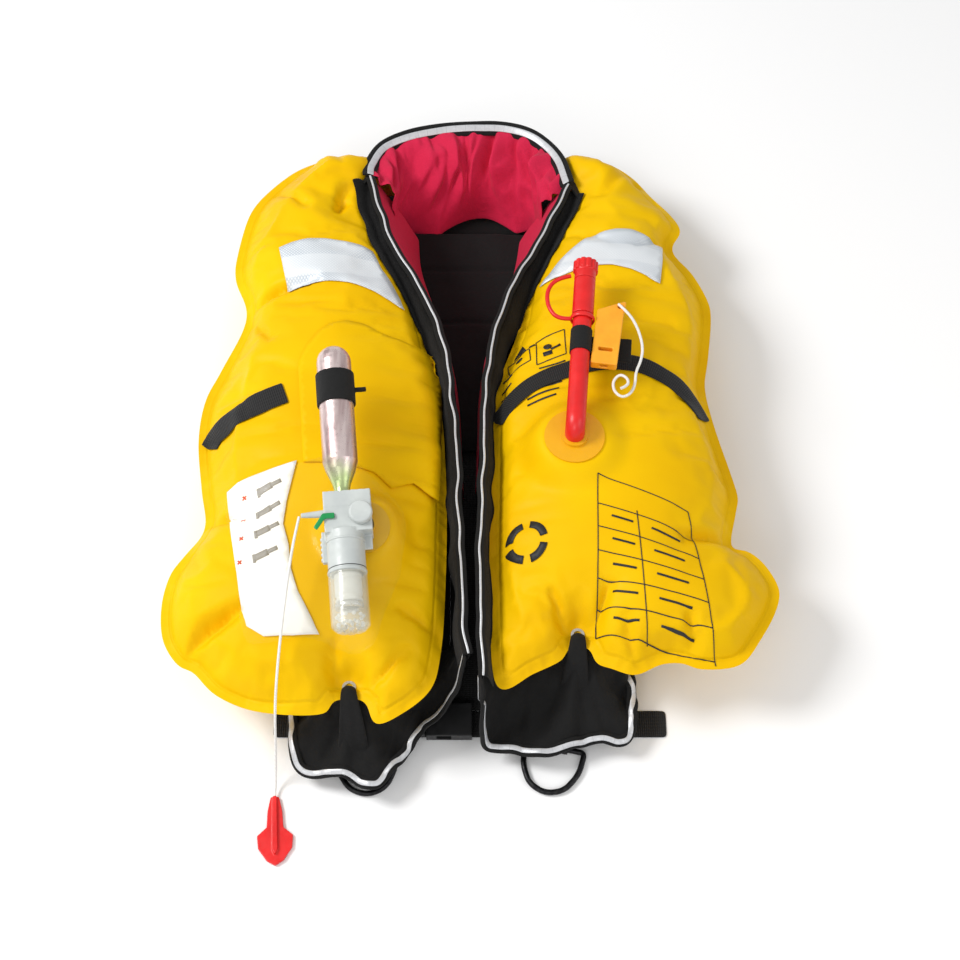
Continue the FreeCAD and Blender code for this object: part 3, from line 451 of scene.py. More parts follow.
def through(points, count, closed=False):
    """A smooth run of evenly spaced points (Catmull-Rom) through a few given ones."""
    fixed = np.array(points, float)
    if closed:
        padded = np.vstack([fixed[-1:], fixed, fixed[:2]])
    else:
        padded = np.vstack([2 * fixed[0] - fixed[1], fixed, 2 * fixed[-1] - fixed[-2]])
    dense = []
    for a, b, c, d in zip(padded, padded[1:], padded[2:], padded[3:]):
        for t in np.linspace(0, 1, 24, endpoint=False):
            dense.append(0.5 * (2 * b + (c - a) * t + (2 * a - 5 * b + 4 * c - d) * t ** 2
                                + (3 * b - a - 3 * c + d) * t ** 3))
    dense.append(fixed[0] if closed else fixed[-1])
    dense = np.array(dense)
    run = run_of(dense)
    wanted = np.linspace(0, run[-1], count + (1 if closed else 0))
    even = np.stack([np.interp(wanted, run, dense[:, axis]) for axis in range(dense.shape[1])], 1)
    return even[:-1] if closed else even


def evened(line, passes):
    """A line of points with its heights averaged along it."""
    for _ in range(passes):
        line[1:-1, 2] = (line[:-2, 2] + 2 * line[1:-1, 2] + line[2:, 2]) / 4
    return line


def wobble(point, scale, seed=0.0):
    """Smooth noise between about -1 and 1 at a point in metres."""
    return noise.noise((point[0] / scale + seed, point[1] / scale - seed, point[2] / scale + 2 * seed))


def grid(name, rows, finish, **options):
    """A sheet through rows of points; its UV map is in metres along its middle row and column."""
    rows = np.array(rows, float)
    down, along = rows.shape[:2]
    u, v = run_of(rows[down // 2]), run_of(rows[:, along // 2])
    v = v - v[-1] / 2
    faces = [(r * along + c, r * along + c + 1, (r + 1) * along + c + 1, (r + 1) * along + c)
             for r in range(down - 1) for c in range(along - 1)]
    uv = [(u[c], v[r]) for r in range(down) for c in range(along)]
    return piece(name, rows.reshape(-1, 3), faces, finish, uv=uv, **options)


def distances(points, ring, closed=True):
    """From each point to a line of points: the distance, and how far along the line it lies."""
    start = ring if closed else ring[:-1]
    end = np.roll(ring, -1, axis=0) if closed else ring[1:]
    run = end - start
    length = np.linalg.norm(run, axis=1)
    base = np.r_[0, np.cumsum(length)[:-1]]
    best = np.full(len(points), 1e9)
    along = np.zeros(len(points))
    for origin, step, size, first in zip(start, run, length, base):
        share = np.clip((points - origin) @ step / size ** 2, 0, 1)
        gap = np.linalg.norm(points - origin - share[:, None] * step, axis=1)
        nearer = gap < best
        best[nearer] = gap[nearer]
        along[nearer] = first + share[nearer] * size
    return best, along


def inside(points, ring):
    """Which points lie inside a closed outline."""
    result = np.zeros(len(points), bool)
    for (x0, y0), (x1, y1) in zip(ring, np.roll(ring, -1, axis=0)):
        crosses = (y0 > points[:, 1]) != (y1 > points[:, 1])
        if y1 != y0:
            result ^= crosses & (points[:, 0] < (x1 - x0) * (points[:, 1] - y0) / (y1 - y0) + x0)
    return result


def apart(points, gap):
    """Those of the points that keep a distance from the ones kept before them."""
    kept = []
    for point in points:
        if all(math.dist(point, other) > gap for other in kept):
            kept.append(tuple(point))
    return np.array(kept)


def stepped(outline, spacing):
    """An outline with its sides cut into even steps of about the spacing."""
    corners = np.array(outline, float)
    ring = []
    for a, b in zip(corners, np.roll(corners, -1, axis=0)):
        count = max(1, round(np.linalg.norm(b - a) / spacing))
        ring += [a + (b - a) * step / count for step in range(count)]
    return np.array(ring)


def fill(ring, spacing, guides=None):
    """Triangles inside an outline: its own points, guide points and a staggered field of points."""
    low, high = ring.min(0), ring.max(0)
    field = []
    for row, y in enumerate(np.arange(low[1], high[1], spacing * 0.866)):
        shift = spacing / 2 if row % 2 else 0
        field += [(x + shift, y) for x in np.arange(low[0], high[0], spacing)]
    field = np.array(field)
    gap, _ = distances(field, ring)
    field = field[inside(field, ring) & (gap > 0.55 * spacing)]
    if guides is not None:
        gap, _ = distances(guides, ring)
        guides = guides[inside(guides, ring) & (gap > 0.5 * spacing)]
        nearest = np.linalg.norm(field[:, None] - guides[None], axis=2).min(1)
        field = np.vstack([guides, field[nearest > 0.6 * spacing]])
    points = [Vector(point) for point in np.vstack([ring, field])]
    made = delaunay_2d_cdt(points, [], [list(range(len(ring)))], 1, 1e-6)
    return np.array([tuple(point) for point in made[0]]), [tuple(face) for face in made[2]]


# ---------------------------------------------------------------- the bladder
BLADDER_OUTLINE = [
    (0, 362), (-40, 359), (-80, 350), (-109, 338), (-147, 334), (-185, 318), (-216, 290), (-236, 257),
    (-246, 204), (-246, 172), (-232, 124), (-254, 60), (-268, 24), (-272, -23), (-265, -80),
    (-259, -122), (-276, -152), (-289, -173), (-295, -205), (-291, -242), (-275, -268), (-260, -275),
    (-238, -298), (-204, -313), (-167, -318), (-134, -316), (-127, -304), (-99, -304), (-88, -327),
    (-65, -318), (-37, -293), (-28, -258), (-24, -200), (-23, -91), (-30, 24), (-47, 109),
    (-64, 164), (-86, 215), (-99, 262), (-84, 300), (-40, 312), (0, 315), (40, 312), (84, 300),
    (96, 262), (80, 215), (60, 164), (50, 109), (25, 24), (20, -91), (19, -200), (25, -289),
    (60, -276), (87, -262), (93, -250), (112, -250), (119, -266), (132, -271), (155, -278), (179, -267),
    (200, -266), (215, -272), (241, -271), (259, -264), (275, -242), (291, -214), (297, -189),
    (286, -163), (270, -147), (254, -142), (261, -104), (263, -81), (245, -5), (239, 39), (244, 73),
    (250, 121), (248, 147), (233, 181), (214, 211), (224, 240), (193, 284), (171, 312), (136, 333),
    (98, 341), (80, 350), (40, 359)]
# Folds that run in from the outline: two ends and the depth as a share of the height.
CREASES = [
    ((-232, 124), (-152, 142), 0.58), ((-232, 124), (-196, 66), 0.36), ((-259, -122), (-206, -134), 0.62),
    ((-278, -266), (-204, -224), 0.92), ((-127, -304), (-126, -256), 0.75),
    ((-99, -304), (-58, -258), 0.60), ((-30, -240), (-72, -222), 0.55), ((-24, -150), (-62, -160), 0.25),
    ((214, 211), (166, 186), 0.42), ((254, -142), (200, -154), 0.66), ((155, -278), (146, -226), 0.56),
    ((215, -272), (203, -226), 0.66), ((93, -250), (76, -200), 0.70), ((112, -250), (132, -198), 0.70),
    ((-216, 290), (-166, 236), 0.38), ((-147, 334), (-134, 296), 0.16), ((-246, 190), (-202, 196), 0.32),
    ((171, 312), (138, 258), 0.38), ((245, 0), (204, 4), 0.28), ((-270, -30), (-232, -40), 0.24)]
# Ridges where the rounded top breaks to the sloping sides: a line and its rise.
RIDGES = [
    ([(-222, 118), (-216, 60), (-226, 6), (-228, -50), (-222, -118)], 0.10),
    ([(-232, 150), (-206, 212), (-184, 262), (-150, 300)], 0.08),
    ([(-240, -176), (-262, -208), (-240, -252), (-196, -276), (-150, -280)], 0.10),
    ([(196, 226), (204, 160), (222, 110), (222, 60), (214, 10)], 0.09),
    ([(218, -10), (236, -62), (232, -118)], 0.07),
    ([(238, -170), (262, -206), (240, -238), (196, -242), (150, -246)], 0.10),
    ([(46, -40), (38, -110), (40, -180), (50, -236)], 0.07)]
EYELETS = [(-113, -291), (102, -237)]
# How near to an eyelet the bag has no thickness, and how near to it the cloth is held.
EYELET_REACH = 15
EYELET_HOLD = 13
# The width of the weld, and the heights of the seam at the lobes and behind the neck.
WELD = 10.0
SEAM = 79.0
NECK_SEAM = 47.0
# Behind the neck: the half width from x, and the start from y, over which the bag gets thin.
NECK_SIDES = (70, 118)
NECK_START = (262, 318)
UNDERSIDE = 7.5
# The cell size and the passes of the membrane equation, and the spacing of the bag's own mesh.
MEMBRANE_STEP = 5.0
MEMBRANE_PASSES = 900
RIM_POINTS = 520
MESH_SPACING = 6.6
# Half the thickness for a unit of the membrane's height, its limit, and what the neck loses of it.
FULLNESS = 0.86
HALF_DEPTH = 66
NECK_LOSS = 34
# The rise from the bottom of a fold, and the lowest point of the bag (m).
CREASE_SLOPE = 1.9
LOWEST = 0.0068
# The cloth simulation: its frames, its settings and the furthest that a point may go (m).
CLOTH_FRAMES = 20
BLADDER_CLOTH = {"vertex_group_mass": "weld", "use_pressure": True, "uniform_pressure_force": 4,
                 "shrink_min": -0.045, "tension_stiffness": 30, "compression_stiffness": 10,
                 "shear_stiffness": 8, "bending_stiffness": 0.15}
MOST_GIVE = 0.008
# The radius pressed flat under each welded disc, and how far out the pressing fades (m).
MANIFOLD_PRESS = (0.027, 0.050)
ORAL_PRESS = (0.030, 0.055)


def smoothstep(value, low, high):
    """A smooth rise from 0 to 1 as the value goes from low to high."""
    share = np.clip((value - low) / (high - low), 0, 1)
    return share * share * (3 - 2 * share)


def membrane(ring):
    """The membrane equation on a grid inside the weld, as a function: half the thickness at points."""
    step = MEMBRANE_STEP
    low = ring.min(0) - 2 * step
    columns, rows = (np.ceil((ring.max(0) + 2 * step - low) / step)).astype(int)
    x, y = np.meshgrid(low[0] + step * np.arange(columns), low[1] + step * np.arange(rows))
    cells = np.stack([x.ravel(), y.ravel()], 1)
    gap, _ = distances(cells, ring)
    open_cells = inside(cells, ring) & (gap > WELD)
    for eye in EYELETS:
        open_cells &= np.linalg.norm(cells - np.array(eye), axis=1) > EYELET_REACH
    mask = open_cells.reshape(rows, columns).astype(float)
    level = np.zeros((rows, columns))
    for _ in range(MEMBRANE_PASSES):
        around = np.zeros_like(level)
        around[1:-1, 1:-1] = (level[2:, 1:-1] + level[:-2, 1:-1] + level[1:-1, 2:] + level[1:-1, :-2])
        level = (around + step ** 2) / 4 * mask

    def height(points):
        at = (points - low) / step
        cell = np.clip(np.floor(at).astype(int), 0, [columns - 2, rows - 2])
        share = at - cell
        corner = [level[cell[:, 1] + dy, cell[:, 0] + dx]
                  * (share[:, 0] if dx else 1 - share[:, 0]) * (share[:, 1] if dy else 1 - share[:, 1])
                  for dy in (0, 1) for dx in (0, 1)]
        return FULLNESS * np.sqrt(np.maximum(sum(corner), 0))

    return height


def faceted(height, flat, gap, ring, lofted):
    """Breaks the rounded sides into sloping faces below the ridges."""
    for line, rise in RIDGES:
        line = through(line, 24)
        run = run_of(line)
        near, spot = distances(flat, line, closed=False)
        crest = np.interp(spot, run, lofted(line))
        reach = np.interp(spot, run, distances(line, ring)[0])
        fade = np.sin(np.pi * np.clip(spot / run[-1], 0, 1)) ** 0.4
        share = np.clip((gap - WELD) / np.maximum(gap - WELD + near, 1e-6), 0, 1)
        slope = crest * (1 + rise) * share ** 0.85
        tent = height * (1 + rise * np.exp(-near / 18))
        outer = (gap < reach) & (near < 1.2 * reach)
        height = height + (np.where(outer, slope, tent) - height) * fade
    return height


def press_to_disc(points, centre, normal, radius, reach):
    """Brings the top of the bladder to the underside of a welded disc."""
    centre, normal = np.array(centre), np.array(normal)
    offset = points[:, :2] - centre[:2]
    target = centre[2] - (offset @ normal[:2]) / normal[2]
    share = 1 - smoothstep(np.linalg.norm(offset, axis=1), radius, reach)
    share *= points[:, 2] > 0.09
    points[:, 2] += (target - points[:, 2]) * share


def bladder_guides(ring):
    """Points along the weld line and the creases, so that the mesh has an edge there."""
    run = np.roll(ring, -1, axis=0) - np.roll(ring, 1, axis=0)
    inward = unit(np.stack([run[:, 1], -run[:, 0]], 1))
    if not inside(ring[:1] + inward[:1] * WELD, ring)[0]:
        inward = -inward
    weld = ring + inward * WELD
    gap, _ = distances(weld, ring)
    guides = list(weld[gap > 0.85 * WELD])
    for line in [crease[:2] for crease in CREASES] + [ridge[0] for ridge in RIDGES]:
        guides += list(through(line, max(3, round(math.dist(line[0], line[-1]) / 4.5))))
    return apart(guides, 3.2)


def bladder():
    """The welded bag: two sheets on one outline, blown up by cloth simulation."""
    ring = through(BLADDER_OUTLINE, RIM_POINTS, closed=True)
    flat, faces = fill(ring, MESH_SPACING, bladder_guides(ring))
    gap, along = distances(flat, ring)
    lofted = membrane(ring)
    height = lofted(flat)
    behind = 1 - smoothstep(np.abs(flat[:, 0]), *NECK_SIDES)
    narrow = smoothstep(flat[:, 1], *NECK_START) * behind
    height = np.where(height > 0, height * (1 + 0.9 * smoothstep(flat[:, 1], *NECK_START)), 0)
    height = np.minimum(height, HALF_DEPTH - NECK_LOSS * narrow)
    height = faceted(height, flat, gap, ring, lofted)
    crease_gap = np.full(len(flat), 1e3)
    for start, end, depth in CREASES:
        near, _ = distances(flat, np.array([start, end], float), closed=False)
        run = np.array(end, float) - np.array(start, float)
        share = np.clip((flat - np.array(start)) @ run / (run @ run), 0, 1)
        valley = height * (1 - depth * (1 - share) ** 0.5) + CREASE_SLOPE * near
        height = np.minimum(height, valley)
        crease_gap = np.minimum(crease_gap, near + 20 * share)
    pucker = np.array([wobble((s, 0, 0), 17, 3.1) + 0.6 * wobble((s, 9, 0), 8, 1.7) for s in along])
    height *= 1 + 0.10 * pucker * np.exp(-gap / 30)
    seam = SEAM + (NECK_SEAM - SEAM) * smoothstep(flat[:, 1], 215, 325) * behind
    seam += 2.0 * np.array([wobble((x, y, 0), 38, 5.0) for x, y in flat]) * np.exp(-gap / 40)
    rim = len(ring)
    top = np.c_[flat, seam + 0.35 + height]
    under = np.c_[flat, np.maximum(seam - 0.35 - height, UNDERSIDE)]
    top[:rim, 2] = seam[:rim]
    number = {old: old for old in range(rim)}
    number.update({old: len(flat) + old - rim for old in range(rim, len(flat))})
    vertices = np.vstack([top, under[rim:]]) * MM
    faces = faces + [tuple(number[index] for index in face[::-1]) for face in faces]
    uv = [(a * MM, g * MM) for a, g in zip(along, gap)]
    uv += uv[rim:]
    obj = piece("bladder_skin", vertices, faces, "bladder_coated_nylon", uv=uv, stands_for=["bladder"])
    pinned = np.concatenate([gap < WELD + 1, (gap < WELD + 1)[rim:]])
    for eye in EYELETS:
        pinned |= np.linalg.norm(vertices[:, :2] / MM - np.array(eye), axis=1) < EYELET_HOLD
    give = smoothstep(gap, WELD, 34) * (0.12 + 0.88 * smoothstep(crease_gap, 5, 28))
    blow_up(obj, pinned, 0.12 + 0.88 * np.concatenate([give, give[rim:]]))
    points = points_of(obj)
    press_to_disc(points, *MANIFOLD_DISC, *MANIFOLD_PRESS)
    press_to_disc(points, *ORAL_DISC, *ORAL_PRESS)
    points[:, 2] = np.maximum(points[:, 2], LOWEST)
    move_points(obj, points)
    crease = obj.data.attributes.new("crease_edge", "FLOAT", "EDGE")
    for edge in obj.data.edges:
        first, last = sorted(edge.vertices)
        on_rim = last < rim and last - first in (1, rim - 1)
        crease.data[edge.index].value = float(on_rim)
        edge.use_edge_sharp = on_rim
    smooth = obj.modifiers.new("smooth", "SUBSURF")
    smooth.levels = 1
    apply_modifiers(obj)
    return obj


def blow_up(obj, pinned, give):
    """Cloth with pressure, its weld held, and no point further than a cap from where it began."""
    start = points_of(obj)
    held = obj.vertex_groups.new(name="weld")
    held.add([int(index) for index in np.flatnonzero(pinned)], 1.0, "REPLACE")
    cloth_modifier = obj.modifiers.new("cloth", "CLOTH")
    settings = cloth_modifier.settings
    for setting, value in BLADDER_CLOTH.items():
        setattr(settings, setting, value)
    settings.effector_weights.gravity = 0
    cloth_modifier.collision_settings.use_collision = False
    cloth_modifier.point_cache.frame_start = 1
    cloth_modifier.point_cache.frame_end = CLOTH_FRAMES
    for step in range(1, CLOTH_FRAMES + 1):
        scene.frame_set(step)
    apply_modifiers(obj)
    scene.frame_set(1)
    moved = points_of(obj) - start
    size = np.linalg.norm(moved, axis=1, keepdims=True) + 1e-9
    cap = MOST_GIVE * give[:, None]
    move_points(obj, start + moved / size * cap * np.tanh(size / cap))


def disc_under(node, drop):
    """The lowest flat of a welded disc: a point at its middle, and the way it faces."""
    mesh = nodes[node].data
    facing_down = [face for face in mesh.polygons if face.normal.z < -0.95]
    normal = sum((face.normal * face.area for face in facing_down), Vector()).normalized()
    level = max(face.center.dot(normal) for face in facing_down)
    flat = [face for face in facing_down if face.center.dot(normal) > level - 0.0004]
    area = sum(face.area for face in flat)
    middle = sum((face.center * face.area for face in flat), Vector()) / area
    return tuple(middle + normal * drop), tuple(-normal)


MANIFOLD_DISC = disc_under("manifold", 0.0003)
ORAL_DISC = disc_under("oral_flange", 0.0003)


# ---------------------------------------------------------------- what lies on the bladder
# A height (m) above every piece, from where places are looked for on the bladder.
ABOVE = 0.4


def tree_of(obj):
    """The surface of a piece, ready for rays."""
    mesh = obj.data
    return BVHTree.FromPolygons([vertex.co for vertex in mesh.vertices],
                                [tuple(face.vertices) for face in mesh.polygons])


def laid(skin, places, lift):
    """Points on top of the bladder under places seen from above (mm), lifted off its face (m)."""
    result = []
    for (x, y), rise in zip(places, np.broadcast_to(lift, len(places))):
        spot, normal, _, _ = skin.ray_cast(Vector((x * MM, y * MM, ABOVE)), DOWN)
        if spot is None:
            spot, normal, _, _ = skin.find_nearest(Vector((x * MM, y * MM, 0.09)))
        result.append(spot + (normal if normal.z > 0 else -normal) * float(rise))
    return result


def patch(name, skin, outline, finish, lift=0.0006, spacing=7.0, thickness=0.0005, turn=0.0,
          stands_for=(), rounded_outline=False):
    """A flexible piece that lies on the bladder inside an outline seen from above."""
    ring = through(outline, 6 * len(outline), closed=True) if rounded_outline else stepped(outline, spacing)
    flat, faces = fill(ring, spacing)
    angle = math.radians(turn)
    centred = (flat - flat.mean(0)) * MM
    uv = [(x * math.cos(angle) + y * math.sin(angle), y * math.cos(angle) - x * math.sin(angle))
          for x, y in centred]
    rise = lift(flat) if callable(lift) else lift
    obj = piece(name, laid(skin, flat, rise), faces, finish, uv=uv, stands_for=stands_for)
    return thicken(obj, thickness, 0)


STRAP_LIFT = 0.0016


def strap(name, skin, route, width, stands_for):
    """Webbing over a lobe along a route seen from above."""
    line = through(route, 70)
    run = np.gradient(line, axis=0)
    side = unit(np.stack([-run[:, 1], run[:, 0]], 1))
    rows = [laid(skin, line + side * share * width, STRAP_LIFT) for share in np.linspace(0.5, -0.5, 6)]
    rows = [evened(np.array([tuple(point) for point in row]), 10) for row in rows]
    thicken(grid(name, rows, "webbing", stands_for=stands_for), 0.0015)


STRAP_LEFT = [(-259, -36), (-251, -27), (-230, -20), (-205, -12), (-181, -4)]
STRAP_RIGHT = [(27, -6), (54, 14), (88, 26), (128, 33), (167, 31), (197, 20), (219, 6), (233, -9)]
PANEL = [(-170, 30), (-162, 52), (-150, 70), (-138, 80), (-124, 85), (-108, 83), (-92, 77), (-74, 73),
         (-55, 71), (-40, 74), (-34, 68), (-33, 20), (-34, -40), (-36, -104), (-46, -100), (-56, -94),
         (-66, -99), (-76, -104), (-92, -92), (-126, -84), (-160, -84)]
POUCH = [(-230, -106), (-162, -86), (-129, -77), (-95, -97), (-66, -135), (-68, -193), (-80, -234),
         (-90, -262), (-108, -268), (-127, -262), (-155, -260), (-189, -266), (-207, -261), (-214, -224),
         (-222, -172)]
CARD = [(-234, -100), (-200, -92), (-166, -82), (-170, -104), (-174, -126), (-176, -150), (-170, -172),
        (-167, -196), (-160, -218), (-148, -240), (-140, -255), (-164, -259), (-190, -260), (-206, -250),
        (-213, -226), (-221, -180), (-229, -138)]
PATCH_LEFT = [(-197, 182), (-184, 187), (-168, 191), (-150, 193), (-132, 193), (-114, 190), (-102, 185),
              (-93, 168), (-84, 150), (-75, 132), (-68, 116), (-82, 122), (-98, 128), (-116, 133),
              (-134, 136), (-152, 135), (-170, 131), (-184, 125)]
PATCH_RIGHT = [(200, 197), (186, 204), (170, 208), (152, 209), (136, 206), (122, 200), (108, 188),
               (94, 174), (82, 160), (73, 147), (88, 152), (106, 156), (126, 158), (146, 157),
               (164, 152), (180, 145), (194, 137), (198, 168)]


def box_outline(x, y, width, length, turn=0.0):
    """A rectangle about a point, turned by some degrees."""
    cosine, sine = math.cos(math.radians(turn)), math.sin(math.radians(turn))
    corners = [(-width / 2, -length / 2), (width / 2, -length / 2), (width / 2, length / 2),
               (-width / 2, length / 2)]
    return [(x + a * cosine - b * sine, y + a * sine + b * cosine) for a, b in corners]


def round_outline(x, y, radius, count):
    """A circle about a point, as a polygon."""
    return [(x + radius * math.cos(2 * math.pi * step / count),
             y + radius * math.sin(2 * math.pi * step / count)) for step in range(count)]


PRINT_SPACING = 3.5
PRINT_THICKNESS = 0.0001


def printed(name, skin, outlines, paint, lift):
    """Plain printed marks: thin shapes on a surface, joined as one piece."""
    vertices, faces = [], []
    for outline in outlines:
        flat, triangles = fill(stepped(outline, PRINT_SPACING), PRINT_SPACING)
        base = len(vertices)
        vertices += laid(skin, flat, lift)
        faces += [tuple(base + index for index in triangle) for triangle in triangles]
    mesh = bpy.data.meshes.new(name)
    mesh.from_pydata([tuple(vertex) for vertex in vertices], [], faces)
    mesh.materials.append(paint)
    obj = thicken(linked(name, mesh), PRINT_THICKNESS, 0)
    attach(obj, "jacket")


def stroke(a, b, width):
    """A thin straight bar between two points."""
    run = np.array(b, float) - np.array(a, float)
    side = np.array([-run[1], run[0]]) / np.linalg.norm(run) * width / 2
    return [tuple(a + side), tuple(a - side), tuple(b - side), tuple(b + side)]


def marks(skin, card_skin):
    """Plain rules and simple pictures in place of the printing."""
    ink = print_ink("ink", (0.012, 0.012, 0.014))
    corner = {"nw": (122, -97), "ne": (208, -129), "se": (231, -269), "sw": (119, -244)}
    place = {key: np.array(value, float) for key, value in corner.items()}
    lines = []
    for share in (0, 0.2, 0.36, 0.52, 0.68, 0.84, 1):
        left = place["nw"] + (place["sw"] - place["nw"]) * share
        right = place["ne"] + (place["se"] - place["ne"]) * share * 0.97
        lines.append(stroke(left, right, 0.9))
        if 0 < share < 1:
            middle = left + (right - left) * 0.14
            lines.append(stroke(middle - (0, 9), middle + (right - left) * 0.22 - (0, 9), 2.0))
            far = left + (right - left) * 0.55
            lines.append(stroke(far - (0, 9), far + (right - left) * 0.3 - (0, 9), 2.0))
    lines.append(stroke(place["nw"], place["sw"], 0.9))
    lines.append(stroke(place["ne"], place["se"], 0.9))
    lines.append(stroke(place["nw"] * 0.58 + place["ne"] * 0.42 - (0, 24),
                        place["sw"] * 0.58 + place["se"] * 0.42, 0.9))
    printed("printed_table", skin, lines, ink, 0.0006)
    box = [(67, 73), (95, 79), (96, 48), (67, 42)]
    small = [(39, 62), (60, 67), (61, 50), (41, 44)]
    bars = [stroke(a, b, 0.9) for shape in (box, small) for a, b in zip(shape, shape[1:] + shape[:1])]
    bars += [stroke((57, 10 - 8 * row), (91 - 3 * row, 16 - 8 * row), 2.0) for row in range(3)]
    bars += [stroke((34 - row, 40 - 11 * row), (43 - row, 43 - 11 * row), 2.0) for row in range(4)]
    bars += [stroke((69, 36), (95, 40), 1.6), stroke((60, 69), (66, 71), 2.4), [(45, 66), (54, 78), (57, 67)],
             round_outline(78, 62, 4.2, 10), box_outline(86, 60, 11, 2.6, 30), box_outline(78, 53, 9, 5, 10),
             round_outline(50, 58, 3.4, 8)]
    printed("printed_panel", skin, bars, ink, 0.0007)
    ring = []
    for step in range(4):
        start = math.radians(90 * step + 12)
        arc = [start + math.radians(66) * part / 7 for part in range(8)]
        ring.append([(54 + 20 * math.cos(a), -158 + 22 * math.sin(a)) for a in arc]
                    + [(54 + 13 * math.cos(a), -158 + 14 * math.sin(a)) for a in reversed(arc)])
    printed("printed_ring", skin, ring, ink, 0.0009)
    grey = print_ink("card_print", (0.30, 0.30, 0.32))
    red = print_ink("card_red", (0.70, 0.03, 0.03))
    icons, dots = [], []
    for row, y in enumerate((-112, -135, -158, -184)):
        icons += [box_outline(-196, y + 2, 15, 7, 24), box_outline(-185, y + 7, 10, 4.5, 24),
                  box_outline(-202, y - 1, 3, 9, 10)]
        dots += [box_outline(-216, y - 3, 5, 1.6, 45), box_outline(-216, y - 3, 5, 1.6, -45)]
    printed("card_pictures", card_skin, icons, grey, 0.0002)
    printed("card_marks", card_skin, dots, red, 0.0002)


def flap_lift(places):
    """The panel lies close to the lobe on its left and stands off it along its free right edge."""
    return (2.0 + 4.5 * smoothstep(places[:, 0], -62, -34)) * MM


def film_lift(places):
    """The pouch's film lies slack, in low waves."""
    return np.array([3.4 + 1.1 * wobble((x, y, 0), 24, 6.6) for x, y in places]) * MM


def on_the_lobes(skin):
    """Straps, reflective patches, the panel and the card in its pouch."""
    for hand, outline, turn in (("left", PATCH_LEFT, 3), ("right", PATCH_RIGHT, -6)):
        patch(f"reflective_{hand}", skin, outline, "reflective_tape", 0.0016, 5.0, turn=turn,
              stands_for=[f"reflective_patch_{hand}"])
    panel = patch("inflator_panel_cloth", skin, PANEL, "bladder_coated_nylon", flap_lift, 5.0, 0.0012,
                  stands_for=["inflator_panel"])
    panel.data.materials[0] = coated_nylon()
    for hand, route, width in (("left", STRAP_LEFT, 25), ("right", STRAP_RIGHT, 20)):
        strap(f"retainer_{hand}", skin, route, width, [f"retainer_strap_{hand}"])
    card = patch("instruction_card_paper", skin, CARD, "card", 0.0019, 6.0, 0.0004,
                 stands_for=["instruction_card"])
    pouch = patch("pouch_film", skin, POUCH, "clear_film", film_lift, 5.0, 0.0005,
                  stands_for=["clear_pouch"], rounded_outline=True)
    marks(skin, tree_of(card))


# ---------------------------------------------------------------- cover, collar and harness
# How thick the sewn pieces are (m).
BINDING, TAPE, EDGE_CLOTH, LINING, RIP_TAPE, FLAP = 0.0026, 0.0006, 0.0022, 0.0010, 0.0014, 0.0018
COLLAR_CLOTH, COLLAR_LINING, NECK_CLOTH, TAIL_CLOTH, BELT_WEB = 0.0024, 0.0012, 0.0016, 0.0018, 0.0017


def trim(name, path, across, tape_width, binding_width, stands_for=(), sway=0.0012):
    """Silver tape on a soft black binding, along a line (m), facing up."""
    run = unit(np.gradient(path, axis=0))
    across = unit(across - (across * run).sum(1)[:, None] * run)
    face = np.cross(run, across)
    face[face[:, 2] < 0] *= -1
    waves = np.array([wobble(point, 0.019, 7.7) for point in path])[:, None]
    path = path + face * waves * sway
    rows = [path + across * (share * binding_width / 2) + face * 0.0016 * (1 - share ** 2)
            for share in np.linspace(-1, 1, 7)]
    binding = grid(name + "_binding", rows, "cover_cloth")
    slip = np.array([wobble(point, 0.024, 2.2) for point in path])[:, None] * 0.0005
    rows = [path + across * (share * tape_width / 2 + slip) + face * (0.0034 + 0.0004 * (1 - share ** 2))
            for share in np.linspace(-1, 1, 5)]
    tape = grid(name + "_tape", rows, "silver_piping", stands_for=stands_for)
    return thicken(binding, BINDING), thicken(tape, TAPE)


# The front edges: the top line and the foot of each (mm).
LEFT_TOP = [(-107, 287, 106), (-89, 222, 105), (-62, 164, 104), (-39, 114, 104), (-25, 65, 104),
            (-18, 6, 104), (-13, -52, 104), (-12, -107, 104), (-9, -173, 104), (-6, -235, 102),
            (-3, -266, 98)]
RIGHT_TOP = [(104, 276, 106), (79, 215, 105), (52, 164, 104), (28, 102, 104), (17, 30, 104),
             (14, -40, 104), (12, -107, 104), (9, -173, 104), (10, -235, 102), (12, -288, 97)]
LEFT_FOOT = [(-79, 266, 6), (-74, 222, 6), (-50, 164, 6), (-31, 114, 6), (-20, 65, 6), (-15, 6, 6),
             (-12, -52, 6), (-11, -107, 6), (-9, -173, 6), (-7, -220, 6), (-6, -238, 12)]
RIGHT_FOOT = [(76, 264, 6), (68, 222, 6), (46, 164, 6), (27, 114, 6), (16, 65, 6), (13, 6, 6),
              (10, -52, 6), (9, -107, 6), (9, -173, 6), (8, -220, 6), (9, -245, 12)]
EDGES = {"left": (LEFT_TOP, LEFT_FOOT), "right": (RIGHT_TOP, RIGHT_FOOT)}
EDGE_STEPS = 150
# The ripple's height, how far the lining hangs in, and how far it stands off the wall.


EDGE_RIPPLE = 0.0022
LINING_SLACK = 0.34
LINING_PUSH = 0.0024


